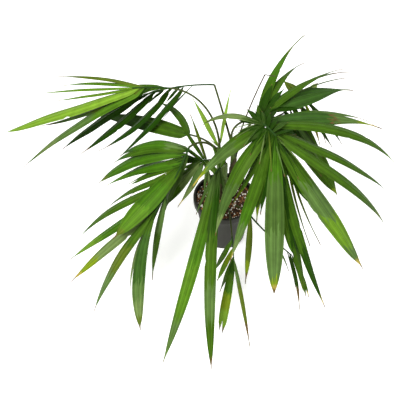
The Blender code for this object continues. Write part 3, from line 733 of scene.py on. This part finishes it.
def point_on(points, share):
    place = share * (len(points) - 1)
    first = min(int(place), len(points) - 2)
    return points[first] + (points[first + 1] - points[first]) * (place - first)


def leaflets(fans, rachis):
    """Each leaflet of a frond: its sizes and its look."""
    for count, ranges, looks in fans:
        for index in range(count):
            share = index / max(count - 1, 1)
            sizes = {key: blend(value, share) for key, value in ranges.items()}
            sizes["foot"] = point_on(rachis, sizes.pop("at"))
            yield sizes, looks[index]


def outline(share, belly, point):
    """Half width of a leaflet along its length, from 0 to 1: a pinched foot, widest at the belly."""
    end = point * (1.2 - belly)
    start = end * (belly + 0.15) / (1.0 - belly)
    body = ((share + 0.15) / (belly + 0.15)) ** start * ((1.0 - share) / (1.0 - belly)) ** end
    return body * np.minimum(1.0, 0.3 + share / 0.06 * 0.7)


def leaflet_line(sizes, seen):
    """Points and headings along a leaflet and the thread beyond its tip, and the reach of each."""
    points, ahead = stroke_arc(sizes["foot"], sizes, 60)
    reach = np.linspace(0, 1, 61)
    tail = seen["tail"]
    if tail > 0:
        more, turned_to = arc(points[-1], sizes["bearing"] + sizes["sweep"], sizes["pitch"] - sizes["droop"],
                              sizes["length"] * tail, 10, seen["curl"], 12)
        points = np.vstack([points, more[1:]])
        ahead = np.vstack([ahead, turned_to[1:]])
        reach = np.concatenate([reach, 1.0 + tail * np.arange(1, 13) / 12])
    return points, ahead, reach


def lobes_of(seen, across, rng):
    """Where each place across a leaflet is drawn to in a torn tip, and how far its lobe falls short."""
    centers = across.copy()
    short = np.zeros(len(across))
    edges = (-1,) + TEARS[seen["lobes"]] + (len(across) - 1,)
    for low, high in zip(edges, edges[1:]):
        centers[low + 1:high + 1] = across[low + 1:high + 1].mean()
        short[low + 1:high + 1] = rng.uniform(0.0, 0.6)
    return centers, short


def face_color(column, reach, jag, sizes, seen, heart):
    """The colour of one face: painted shade in the heart of the frond, changed towards the tip, and striped.

    The middle rib and some pleats of a wide leaflet are paler, partly as paler veins and partly as painted
    highlight, and the grooves between are deeper with painted shade, which also covers the blade beside the
    ribs just outside the heart.
    """
    if reach >= 1.0:
        return "brown"
    color = seen["tone"]
    for share, end in seen["ends"]:
        if reach > 1.0 - share - min(share, 0.2) * 4.0 * jag:
            color = end
    if color not in TONES:
        return color
    # Painted shade: near the rachis a leaf base takes the heart's dark colour, and a little further out it
    # takes the groove's painted shade.
    depth = reach * sizes["length"] / max(heart, 0.001) + 9.0 * jag
    if depth < 0.45:
        return "heart"
    # Painted highlight, partly paler veins, on the rib and two pleats of a wide leaflet; painted shade in the
    # grooves and just outside the heart.
    if column == MIDDLE_STRIP or (sizes["width"] > 0.02 and column in PALE_RIB_HIGHLIGHT_STRIPS):
        return color + ("_rib" if depth > 1.0 else "")
    return color + ("_groove" if column in GROOVE_SHADE_STRIPS or depth < 1.0 else "")


def add_leaflet(batch, slots, sizes, seen, fold, flute, rng, heart=0.0):
    """A fluted leaflet, folded down from its rib, as a sheet with its own outline."""
    columns = len(LEAF_PLACES)
    rows = LEAF_ROWS[sizes["width"] > 0.014]
    reach = (np.arange(rows) / (rows - 1)) * (1.0 + seen["tail"])
    share = np.minimum(reach, 1.0)
    points, ahead, known = leaflet_line(sizes, seen)
    ahead = np.stack([np.interp(reach, known, ahead[:, axis]) for axis in range(3)], 1)
    side = np.cross(ahead, (0.0, 0.0, 1.0))
    side /= np.linalg.norm(side, axis=1)[:, None]
    lift = np.cross(side, ahead)
    roll = np.radians(seen["roll"] + rng.uniform(-7, 7) + rng.uniform(-12, 12) * share)[:, None]
    side, lift = side * np.cos(roll) + lift * np.sin(roll), lift * np.cos(roll) - side * np.sin(roll)
    ending = np.clip((1.0 + seen["tail"] - reach) / max(seen["tail"], 0.01), 0.0, 1.0)
    thin = (THREAD + 0.045 * sizes["width"] * ending) / 2
    half = np.maximum(sizes["width"] / 2 * outline(share, seen["belly"], seen["point"]), thin)
    across = np.tile(np.array(LEAF_PLACES), (rows, 1))
    split = seen["split"]
    torn = np.zeros(rows)
    short = np.zeros(columns)
    if split > 0:
        torn = np.clip((share - 1.0 + split) / split, 0.0, 0.96)
        centers, short = lobes_of(seen, across[0], rng)
        across += (centers - across) * torn[:, None]
        held = sizes["width"] / 2 * outline(np.float64(1.0 - split), seen["belly"], seen["point"])
        half = np.where(torn > 0, held * (1.0 - 0.25 * torn), half)
    for _ in range(int(rng.integers(0, 3)) if sizes["width"] > 0.014 else 0):
        across[int(rng.uniform(0.15, 0.85) * rows), int(rng.integers(0, 2)) - 1] *= rng.uniform(0.76, 0.92)
    place = reach[:, None] - short[None, :] * split * torn[:, None]
    centers = np.stack([np.interp(place, known, points[:, axis]) for axis in range(3)], -1)
    slope = fold * (0.45 + 1.1 * (1.0 - share) ** 3)
    wave = 0.06 * np.sin(share * rng.uniform(9, 15) + rng.uniform(0, 6))[:, None] * across ** 2
    spread = half[:, None] * across * np.cos(slope)[:, None]
    down = half[:, None] * (np.abs(across) * np.sin(slope)[:, None] + wave)
    ridge = half[:, None] * flute * np.array(LEAF_FLUTES)[None, :]
    grid = centers + side[:, None, :] * spread[:, :, None] + lift[:, None, :] * (ridge - down)[:, :, None]
    maps = np.stack([(across + 1) / 2 * sizes["width"] * 30, np.repeat(share[:, None], columns, 1)], -1)
    edge = rng.uniform(-0.06, 0.06, columns)
    faces = []
    numbers = []
    for row in range(rows - 1):
        for column in range(columns - 1):
            if torn[row + 1] > 0 and column in TEARS[seen["lobes"]]:
                continue
            low = row * columns + column
            high = low + columns
            colors = [face_color(column, reach[step], edge[column], sizes, seen, heart)
                      for step in (row, row + 1)]
            if colors[0] == colors[1]:
                faces.append((low, low + 1, high + 1, high))
                numbers.append(slots[colors[0]])
            else:
                near, far = ((low, low + 1, high), (low + 1, high + 1, high))
                if column % 2:
                    near, far = ((low, low + 1, high + 1), (low, high + 1, high))
                faces += [near, far]
                numbers += [slots[color] for color in colors]
    batch.add(grid.reshape(-1, 3), faces, numbers, maps.reshape(-1, 2))


def add_tube(batch, points, radii, sides, slot, groove=0.0, caps=True):
    """A tube along points, with a groove down its upper side."""
    points = np.asarray(points, float)
    count = len(points)
    along = np.gradient(points, axis=0)
    along /= np.linalg.norm(along, axis=1)[:, None]
    side = np.cross(along, (0.0, 0.0, 1.0))
    weak = np.linalg.norm(side, axis=1) < 0.05
    side[weak] = np.cross(along[weak], (0.0, 1.0, 0.0))
    for index in range(1, count):
        if side[index] @ side[index - 1] < 0:
            side[index] = -side[index]
    side /= np.linalg.norm(side, axis=1)[:, None]
    lift = np.cross(side, along)
    turn = np.arange(sides) / sides * 2 * math.pi
    shape = 1.0 - groove * np.maximum(0.0, np.sin(turn)) ** 6
    radii = np.asarray(radii, float)[:, None] * shape[None, :]
    rings = (points[:, None, :] + side[:, None, :] * (radii * np.cos(turn))[:, :, None]
             + lift[:, None, :] * (radii * np.sin(turn))[:, :, None])
    faces = []
    for row in range(count - 1):
        for column in range(sides):
            after = (column + 1) % sides
            faces.append((row * sides + column, row * sides + after, (row + 1) * sides + after,
                          (row + 1) * sides + column))
    if caps:
        faces.append(tuple(reversed(range(sides))))
        faces.append(tuple(range((count - 1) * sides, count * sides)))
    length = np.concatenate([[0.0], np.cumsum(np.linalg.norm(np.diff(points, axis=0), axis=1))])
    maps = np.stack(np.meshgrid(turn / (2 * math.pi), length * 30), -1).reshape(-1, 2)
    batch.add(rings.reshape(-1, 3), faces, [slot] * len(faces), maps)


def turned(name, profile, steps, finish):
    """A shell turned about the Z axis from (radius, height) points."""
    mesh = bpy.data.meshes.new(name)
    points = [(radius, 0.0, height) for radius, height in profile]
    mesh.from_pydata(points, [(index, index + 1) for index in range(len(points) - 1)], [])
    item = bpy.data.objects.new(name, mesh)
    bpy.context.scene.collection.objects.link(item)
    screw = item.modifiers.new("turn", "SCREW")
    screw.steps = steps
    screw.render_steps = steps
    screw.use_merge_vertices = True
    screw.merge_threshold = 0.00001
    bpy.context.view_layer.update()
    evaluated = item.evaluated_get(bpy.context.evaluated_depsgraph_get())
    item.data = bpy.data.meshes.new_from_object(evaluated)
    item.modifiers.clear()
    item.data.materials.append(finish)
    item.data.shade_smooth()
    item.data.set_sharp_from_angle(angle=math.radians(35))
    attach(item, "root")
    return item


def rounded(corner, radius, start, steps=5):
    """A quarter circle of profile points about a corner's centre, from a start angle in degrees."""
    turns = [math.radians(start - 90 * index / steps) for index in range(steps + 1)]
    return [(corner[0] + radius * math.cos(turn), corner[1] + radius * math.sin(turn)) for turn in turns]


def wall_radius(pot, height, inset=0.0):
    """Outer radius of the pot's tapered wall at a height, less an inset."""
    top_radius = POT_HIGH.x - pot.step
    return pot.base + (top_radius - pot.base) * height / POT_HIGH.z - inset


def pot_profile(pot):
    """From the inside of the wall over the lip, down to the foot ring and the sunk underside."""
    top = POT_HIGH.z
    rim = POT_HIGH.x
    soft = 0.0011
    inner = wall_radius(pot, top, pot.wall)
    lip_foot = top - pot.lip
    points = [(wall_radius(pot, top * 0.7, pot.wall), top * 0.7), (inner, top - soft)]
    points += [(inner + soft - soft * math.cos(turn), top - soft + soft * math.sin(turn))
               for turn in (0.4, 0.8, 1.2, math.pi / 2)]
    points += rounded((rim - soft, top - soft), soft, 90)
    points += rounded((rim - soft * 0.6, lip_foot + soft * 0.6), soft * 0.6, 0)
    points += [(wall_radius(pot, lip_foot) + 0.0003, lip_foot)]
    points += [(wall_radius(pot, lip_foot - 0.0012), lip_foot - 0.0012)]
    points += [(wall_radius(pot, height), height) for height in (0.090, 0.060, 0.030, 0.0125)]
    points += rounded((pot.base - 0.0022, 0.0022), 0.0022, 0)
    points += [(pot.base - 0.0055, 0.0), (pot.base - 0.0065, 0.0016), (0.0, 0.0016)]
    return points


def build_pot(pot):
    item = turned("pot_shell", pot_profile(pot), pot.steps, pot_plastic("pot_plastic", pot.color))
    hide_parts("pot")
    # Painted shade: a darker copy of the plastic, for a sheet inside the upper wall where the inner wall lies
    # in shadow, and for discs on the drain holes.
    shadow = pot_plastic("pot_shadow", shade(pot.color, 0.3))
    shade_wall = [(wall_radius(pot, height, pot.wall + 0.0003), height) for height in (0.085, POT_HIGH.z - 0.002)]
    turned("pot_lining", shade_wall, pot.steps, shadow)
    batch = Batch()
    around = headings(-np.arange(20) * 18.0, np.zeros(20)) * 0.0035
    # Each drain hole is a dark disc of painted shade on the sunk underside.
    for index in range(pot.holes):
        ring = around + headings(360 * index / pot.holes, 0.0) * pot.base * 0.62 + (0.0, 0.0, 0.0013)
        batch.add(ring, [tuple(range(20))], [0], ring[:, :2])
    item = batch.make("drain_holes", [shadow])


def soil_height(radius, x, y, heap, edge):
    """Top of the mix: flat in the middle, a little lower at the wall, with small lumps."""
    fall = max(0.0, (radius - 0.036) / (edge - 0.036))
    lumps = noise.noise(Vector((x, y, 0.3)) * 180.0) + 0.5 * noise.noise(Vector((x, y, 0.7)) * 420.0)
    return SOIL_HIGH.z - 0.0045 * fall + heap * lumps


def build_soil_surface(pot, soil):
    """The mix as a lumpy disc that fills the pot's mouth."""
    edge = wall_radius(pot, SOIL_HIGH.z - 0.0045, pot.wall + 0.0002)
    rings = 44
    spokes = 150
    points = [(0.0, 0.0, soil_height(0.0, 0.0, 0.0, soil.heap, edge))]
    for ring in range(1, rings + 1):
        radius = edge * ring / rings
        for spoke in range(spokes):
            turn = 2 * math.pi * spoke / spokes
            x = radius * math.cos(turn)
            y = radius * math.sin(turn)
            points.append((x, y, soil_height(radius, x, y, soil.heap, edge)))
    faces = [(0, 1 + spoke, 1 + (spoke + 1) % spokes) for spoke in range(spokes)]
    for ring in range(rings - 1):
        for spoke in range(spokes):
            low = 1 + ring * spokes + spoke
            after = 1 + ring * spokes + (spoke + 1) % spokes
            faces.append((low, low + spokes, after + spokes, after))
    batch = Batch()
    batch.add(points, faces, [0] * len(faces), np.array(points)[:, :2])
    item = batch.make("soil_surface", [peat(soil.color)])
    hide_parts("soil")
    return edge


def turns(rng):
    """A random turn in space as a 3 x 3 matrix."""
    made, _ = np.linalg.qr(rng.normal(size=(3, 3)))
    return made


def lump(kind):
    """Points and faces of a chip (a cube) or a grain (a ball)."""
    shape = bmesh.new()
    if kind == "chip":
        bmesh.ops.create_cube(shape, size=1.0)
        bmesh.ops.subdivide_edges(shape, edges=shape.edges, cuts=1, use_grid_fill=True)
    else:
        bmesh.ops.create_icosphere(shape, subdivisions=1, radius=0.5)
    points = np.array([vert.co[:] for vert in shape.verts])
    faces = [tuple(vert.index for vert in face.verts) for face in shape.faces]
    shape.free()
    return points, faces


def scatter(batch, kind, count, size, soil, edge, rng, slots):
    """Chips or grains over the mix, none of them inside a cane."""
    base, faces = lump(kind)
    placed = 0
    while placed < count:
        radius = edge * math.sqrt(rng.uniform(0, 1)) * 0.97
        turn = rng.uniform(0, 2 * math.pi)
        x = radius * math.cos(turn)
        y = radius * math.sin(turn)
        if any(math.hypot(x - cane[0][0], y - cane[0][1]) < cane[2] + 0.002 for cane in CANES.values()):
            continue
        scale = size * rng.uniform(0.35, 1.0)
        if kind == "chip":
            stretch = np.array([scale, scale * rng.uniform(0.35, 0.6), scale * rng.uniform(0.16, 0.3)])
            tilt = turns(rng)
            tilt = tilt if abs(tilt[2, 2]) > 0.6 else np.eye(3)[[1, 0, 2]]
        else:
            stretch = scale * rng.uniform(0.75, 1.1, 3)
            tilt = turns(rng)
        rough = base * rng.uniform(0.78, 1.15, base.shape)
        points = (rough * stretch) @ tilt.T
        rise = soil_height(radius, x, y, soil.heap, edge) + points[:, 2].max() * 0.25
        points = points + (x, y, rise)
        far = np.hypot(points[:, 0], points[:, 1])
        if far.max() > edge:
            continue
        slot = int(rng.integers(len(slots)))
        batch.add(points, faces, [slots[slot]] * len(faces), points[:, :2])
        placed += 1


def build_soil(pot, soil):
    edge = build_soil_surface(pot, soil)
    rng = np.random.default_rng(SEED)
    chips = Batch()
    scatter(chips, "chip", soil.chips, soil.chip, soil, edge, rng, (0, 1, 1, 2))
    item = chips.make("bark_chips", [bark("bark_red", soil.bark), bark("bark_brown", shade(soil.bark, 0.30)),
                                     bark("bark_tan", shade(soil.bark, 2.0))], math.radians(40))
    grains = Batch()
    scatter(grains, "grain", soil.grains, soil.grain, soil, edge, rng, (0,))
    item = grains.make("perlite_grains", [perlite(soil.perlite)])


def cane_line(cane, steps):
    foot, top, _, _ = cane
    start = np.array((*foot, SOIL_HIGH.z - 0.003))
    share = np.linspace(0, 1, steps)[:, None]
    return start + (np.array(top) - start) * share


def add_cane(batch, cane, slot):
    """The cane itself, thicker at its rings."""
    steps = 70
    line = cane_line(cane, steps)
    _, _, low, high = cane
    share = np.linspace(0, 1, steps)
    rings = 0.0004 * np.exp(-(((share * 6.5) % 1.0 - 0.5) / 0.07) ** 2)
    radii = low + (high - low) * share - 0.0005 + rings
    radii[-1] *= 0.6
    add_tube(batch, line, radii, 28, slot)


def add_sheath(batch, cane, low, high, facing, slot, rng):
    """An old leaf sheath: an open sleeve round the cane with a slit and a torn top."""
    steps = 26
    columns = 30
    line = cane_line(cane, 101)
    _, _, thick, thin = cane
    points = []
    tear = rng.uniform(-0.5, 0.5, columns)
    for row in range(steps):
        share = row / (steps - 1)
        for column in range(columns):
            turn = math.radians(facing + 18 + 324 * column / (columns - 1))
            slant = 0.40 * math.cos(turn - math.radians(facing)) + 0.16 * tear[column]
            place = low + (high - low) * share * (1.0 - slant * share)
            center = point_on(line, min(max(place, 0.0), 1.0))
            flare = 0.0008 + 0.0016 * share ** 3
            radius = thick + (thin - thick) * place + flare
            ripple = 0.00012 * math.sin(column * 2.4)
            points.append(center + np.array((math.cos(turn), math.sin(turn), 0.0)) * (radius + ripple))
    faces = []
    for row in range(steps - 1):
        for column in range(columns - 1):
            first = row * columns + column
            faces.append((first, first + 1, first + 1 + columns, first + columns))
    maps = np.stack(np.meshgrid(np.linspace(0, 1, columns), np.linspace(0, 1, steps)), -1).reshape(-1, 2)
    batch.add(points, faces, [slot] * len(faces), maps)


def add_fibre(batch, start, bearing, pitch, length, droop, sweep, slot):
    """A thin dry strand that curls off a sheath."""
    points, _ = arc(start, bearing, pitch, length, droop, sweep, 14)
    radii = np.linspace(0.00045, 0.00018, len(points))
    add_tube(batch, points, radii, 5, slot)


def build_canes(stalks):
    """Canes with their rings, sheaths and loose fibres."""
    rng = np.random.default_rng(SEED + 1)
    finishes = [stalk("cane_skin", stalks.sheath, 0.55), stalk("cane_sheath", shade(stalks.sheath, 1.6), 0.6),
                stalk("cane_fibre", stalks.fibre, 0.8)]
    layers = {
        "cane_left": ((0.00, 0.34, 40, 2), (0.22, 0.66, 210, 1), (0.50, 0.97, 120, 1)),
        "cane_right": ((0.00, 0.36, 300, 2), (0.25, 0.64, 130, 2), (0.52, 0.98, 330, 1)),
        "cane_front": ((0.00, 0.40, 250, 2), (0.30, 0.90, 90, 1)),
    }
    for name, cane in CANES.items():
        batch = Batch()
        add_cane(batch, cane, 0)
        for low, high, facing, slot in layers[name]:
            add_sheath(batch, cane, low, high, facing, slot, rng)
        line = cane_line(cane, 60)
        for index in range(14):
            spot = line[int(rng.integers(8, 55))]
            turn = rng.uniform(0, 360)
            start = spot + headings(turn, 0.0) * (cane[2] + 0.0004)
            add_fibre(batch, start, turn, rng.uniform(40, 75), rng.uniform(0.010, 0.026),
                      rng.uniform(-30, 70), rng.uniform(-60, 60), 2)
        item = batch.make(name + "_stem", finishes)
        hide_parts(name)


def build_spears(leaves):
    """Young folded leaves that stand on the left cane."""
    rng = np.random.default_rng(SEED + 2)
    top = np.array(CANES["cane_left"][1]) + (0.0, 0.0, 0.003)
    batch = Batch()
    # The spears' rib is paler, partly as painted highlight; their grooves and heart keep the plain colour.
    slots = {"young": 0, "young_rib": 1, "young_groove": 0, "brown": 0, "heart": 0}
    add_tube(batch, [top - (0, 0, 0.003), top + (0, 0, 0.002), top + (0, 0, 0.008)],
             [0.0030, 0.0028, 0.0018], 14, 0)
    for shape in SPEARS:
        add_leaflet(batch, slots, dict(foot=top, **shape), look("young"), math.radians(38), leaves.flute, rng)
    # A paler copy of the young green for the rib, partly painted highlight.
    item = batch.make("young_spears", [leaf("leaf_young", leaves.young),
                                       leaf("leaf_young_rib", shade(leaves.young, 1.2))])
    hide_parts("spears")


def stalk_radii(shape, taper, steps):
    return np.linspace(1.0, taper, steps + 1) * shape["width"] / 2


def build_stalks(stalks):
    """Petioles, which clasp the cane with a broader foot and carry a groove on top."""
    green = stalk("stalk_green", stalks.green)
    finishes = {"dry": stalk("stalk_dry", stalks.dry, 0.75), "front_long": stalk("stalk_pale", stalks.clasp)}
    steps = 44
    for name, frond in FRONDS.items():
        batch = Batch()
        line, _ = stroke_arc(frond["foot"], frond["petiole"], steps)
        radii = stalk_radii(frond["petiole"], 0.84, steps) * 1.2
        reach = np.linspace(0, frond["petiole"]["length"], steps + 1)
        radii = radii * (1.0 + 0.35 * np.exp(-reach / 0.010))
        add_tube(batch, line, radii, 16, 0, 0.22)
        item = batch.make("stalk_" + name, [finishes.get(name, green)])
        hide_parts("petiole_" + name)
        "dry_stalk" if name == "dry" else "green_stalk"


def build_ribs(stalks):
    """The rachis of each frond, from the tip of its stalk."""
    green = stalk("rachis_green", (0.014, 0.046, 0.005), 0.8)
    dry = stalk("rachis_dry", stalks.dry, 0.75)
    steps = 30
    for name, frond in FRONDS.items():
        batch = Batch()
        line, _ = stroke_arc(frond["foot"], frond["petiole"], 44)
        rachis, _ = stroke_arc(line[-1], frond["rachis"], steps)
        add_tube(batch, rachis, stalk_radii(frond["rachis"], 0.65, steps) * 1.2, 14, 0, 0.15)
        item = batch.make("rachis_" + name, [dry if name == "dry" else green])
        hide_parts("frond_" + name)
        "dry_stalk" if name == "dry" else "green_stalk"


def leaf_finishes(leaves):
    """Each tone as a blade, a paler rib that is partly painted highlight and a groove darkened as painted
    shade, and the tip colours; also the painted shade of a frond's heart.
    """
    made = {}
    for tone in TONES:
        color = getattr(leaves, tone)
        made[tone] = leaf("leaf_" + tone, color)
        # The rib copy is paler, partly as the veins and partly as painted highlight; the groove copy is
        # darker as painted shade.
        made[tone + "_rib"] = leaf("leaf_" + tone + "_rib", shade(color, 1.28))
        made[tone + "_groove"] = leaf("leaf_" + tone + "_groove", shade(color, 0.78))
    # Painted shade for the heart of a frond, darker than the deep green.
    made["heart"] = leaf("leaf_heart", shade(leaves.dark, 0.75))
    made["yellow"] = leaf("leaf_yellow", leaves.yellow)
    made["brown"] = leaf("leaf_brown", leaves.brown)
    return made


def build_leaflets(leaves):
    """The leaflets of each frond, joined, with their tones dealt out leaflet by leaflet."""
    finishes = leaf_finishes(leaves)
    order = {key: index for index, key in enumerate(finishes)}
    rng = np.random.default_rng(SEED + 3)
    for name, frond in FRONDS.items():
        if not frond["fans"]:
            continue
        line, _ = stroke_arc(frond["foot"], frond["petiole"], 44)
        rachis, _ = stroke_arc(line[-1], frond["rachis"], 30)
        batch = Batch()
        for sizes, seen in leaflets(frond["fans"] + FINE.get(name, ()), rachis):
            add_leaflet(batch, order, sizes, seen, leaves.fold, leaves.flute, rng, SHADED_HEARTS.get(name, 0.0))
        used = sorted(set(batch.slots))
        batch.slots = [used.index(slot) for slot in batch.slots]
        item = batch.make("leaflets_" + name, [list(finishes.values())[slot] for slot in used])
        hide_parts("frond_" + name)


def area_light(name, place, aim, size, power):
    light = bpy.data.lights.new(name, "AREA")
    light.shape = "DISK"
    light.size = size
    light.energy = power
    item = bpy.data.objects.new(name, light)
    item.location = place
    item.rotation_euler = (Vector(aim) - Vector(place)).to_track_quat("-Z", "Y").to_euler()
    bpy.context.scene.collection.objects.link(item)


def build_stage(studio):
    """Pale floor, soft studio light and the camera."""
    floor_mesh = bpy.data.meshes.new("floor")
    reach = 6.0
    floor_mesh.from_pydata([(-reach, -reach, 0), (reach, -reach, 0), (reach, reach, 0), (-reach, reach, 0)],
                           [], [(0, 1, 2, 3)])
    floor = bpy.data.objects.new("floor", floor_mesh)
    bpy.context.scene.collection.objects.link(floor)
    finish = Finish("floor", studio.floor, 0.95)
    finish.shader.inputs["Emission Color"].default_value = (1.0, 1.0, 1.0, 1.0)
    finish.shader.inputs["Emission Strength"].default_value = studio.glow
    floor_mesh.materials.append(finish.material)
    world = bpy.data.worlds.new("studio")
    world.use_nodes = True
    world.node_tree.nodes["Background"].inputs[0].default_value = (1.0, 0.98, 0.92, 1.0)
    world.node_tree.nodes["Background"].inputs[1].default_value = 0.43
    bpy.context.scene.world = world
    area_light("key", (-0.9, -1.1, 2.2), (0, 0, 0.2), 1.2, 74)
    area_light("fill", (1.4, -0.6, 1.5), (0, 0, 0.2), 1.8, 18)
    area_light("back", (0.2, 1.6, 1.8), (0, 0, 0.2), 1.6, 16)
    camera = bpy.data.cameras.new("camera")
    camera.lens = studio.lens
    camera.sensor_width = 36.0
    item = bpy.data.objects.new("camera", camera)
    forward = Vector((0.0, math.cos(studio.elevation), -math.sin(studio.elevation)))
    item.location = Vector(studio.target) - forward * studio.distance
    item.rotation_euler = (math.pi / 2 - studio.elevation, 0.0, 0.0)
    bpy.context.scene.collection.objects.link(item)
    bpy.context.scene.camera = item
    bpy.context.scene.view_settings.view_transform = "Standard"


class CATPALM_OT_pot(bpy.types.Operator):
    """Make the nursery pot"""
    bl_idname = "catpalm.pot"
    bl_label = "Pot"

    def execute(self, context):
        build_pot(context.scene.cat_palm.pot)
        return {"FINISHED"}


class CATPALM_OT_soil(bpy.types.Operator):
    """Make the potting mix with its bark chips and perlite"""
    bl_idname = "catpalm.soil"
    bl_label = "Potting Mix"

    def execute(self, context):
        build_soil(context.scene.cat_palm.pot, context.scene.cat_palm.soil)
        return {"FINISHED"}


class CATPALM_OT_canes(bpy.types.Operator):
    """Make the canes with their sheaths and fibres"""
    bl_idname = "catpalm.canes"
    bl_label = "Canes"

    def execute(self, context):
        build_canes(context.scene.cat_palm.stalk)
        return {"FINISHED"}


class CATPALM_OT_spears(bpy.types.Operator):
    """Make the young folded leaves"""
    bl_idname = "catpalm.spears"
    bl_label = "Young Spears"

    def execute(self, context):
        build_spears(context.scene.cat_palm.leaf)
        return {"FINISHED"}


class CATPALM_OT_stalks(bpy.types.Operator):
    """Make the petiole of each frond"""
    bl_idname = "catpalm.stalks"
    bl_label = "Stalks"

    def execute(self, context):
        build_stalks(context.scene.cat_palm.stalk)
        return {"FINISHED"}


class CATPALM_OT_ribs(bpy.types.Operator):
    """Make the rachis of each frond"""
    bl_idname = "catpalm.ribs"
    bl_label = "Ribs"

    def execute(self, context):
        build_ribs(context.scene.cat_palm.stalk)
        return {"FINISHED"}


class CATPALM_OT_leaflets(bpy.types.Operator):
    """Make the leaflets of each frond"""
    bl_idname = "catpalm.leaflets"
    bl_label = "Leaflets"

    def execute(self, context):
        build_leaflets(context.scene.cat_palm.leaf)
        return {"FINISHED"}


class CATPALM_OT_stage(bpy.types.Operator):
    """Make the floor, the lights and the camera"""
    bl_idname = "catpalm.stage"
    bl_label = "Stage"

    def execute(self, context):
        build_stage(context.scene.cat_palm.studio)
        return {"FINISHED"}


OPERATORS = (CATPALM_OT_pot, CATPALM_OT_soil, CATPALM_OT_canes, CATPALM_OT_spears, CATPALM_OT_stalks,
             CATPALM_OT_ribs, CATPALM_OT_leaflets, CATPALM_OT_stage)


class CATPALM_PT_panel(bpy.types.Panel):
    """Sizes, colours and pieces of the palm"""
    bl_label = "Potted Cat Palm"
    bl_idname = "CATPALM_PT_panel"
    bl_space_type = "VIEW_3D"
    bl_region_type = "UI"
    bl_category = "Cat Palm"

    def draw(self, context):
        palm = context.scene.cat_palm
        for group in (palm.pot, palm.soil, palm.stalk, palm.leaf, palm.studio):
            box = self.layout.box()
            for name in group.__annotations__:
                box.prop(group, name)
        for operator in OPERATORS:
            self.layout.operator(operator.bl_idname)


GROUPS = (PotSettings, SoilSettings, StalkSettings, LeafSettings, StudioSettings, Palm)
CLASSES = GROUPS + OPERATORS + (CATPALM_PT_panel,)


def register():
    for made in CLASSES:
        bpy.utils.register_class(made)
    bpy.types.Scene.cat_palm = PointerProperty(type=Palm)


def unregister():
    del bpy.types.Scene.cat_palm
    for made in reversed(CLASSES):
        bpy.utils.unregister_class(made)


def main():
    register()
    for operator in OPERATORS:
        group, name = operator.bl_idname.split(".")
        getattr(getattr(bpy.ops, group), name)()


if __name__ == "__main__":
    main()
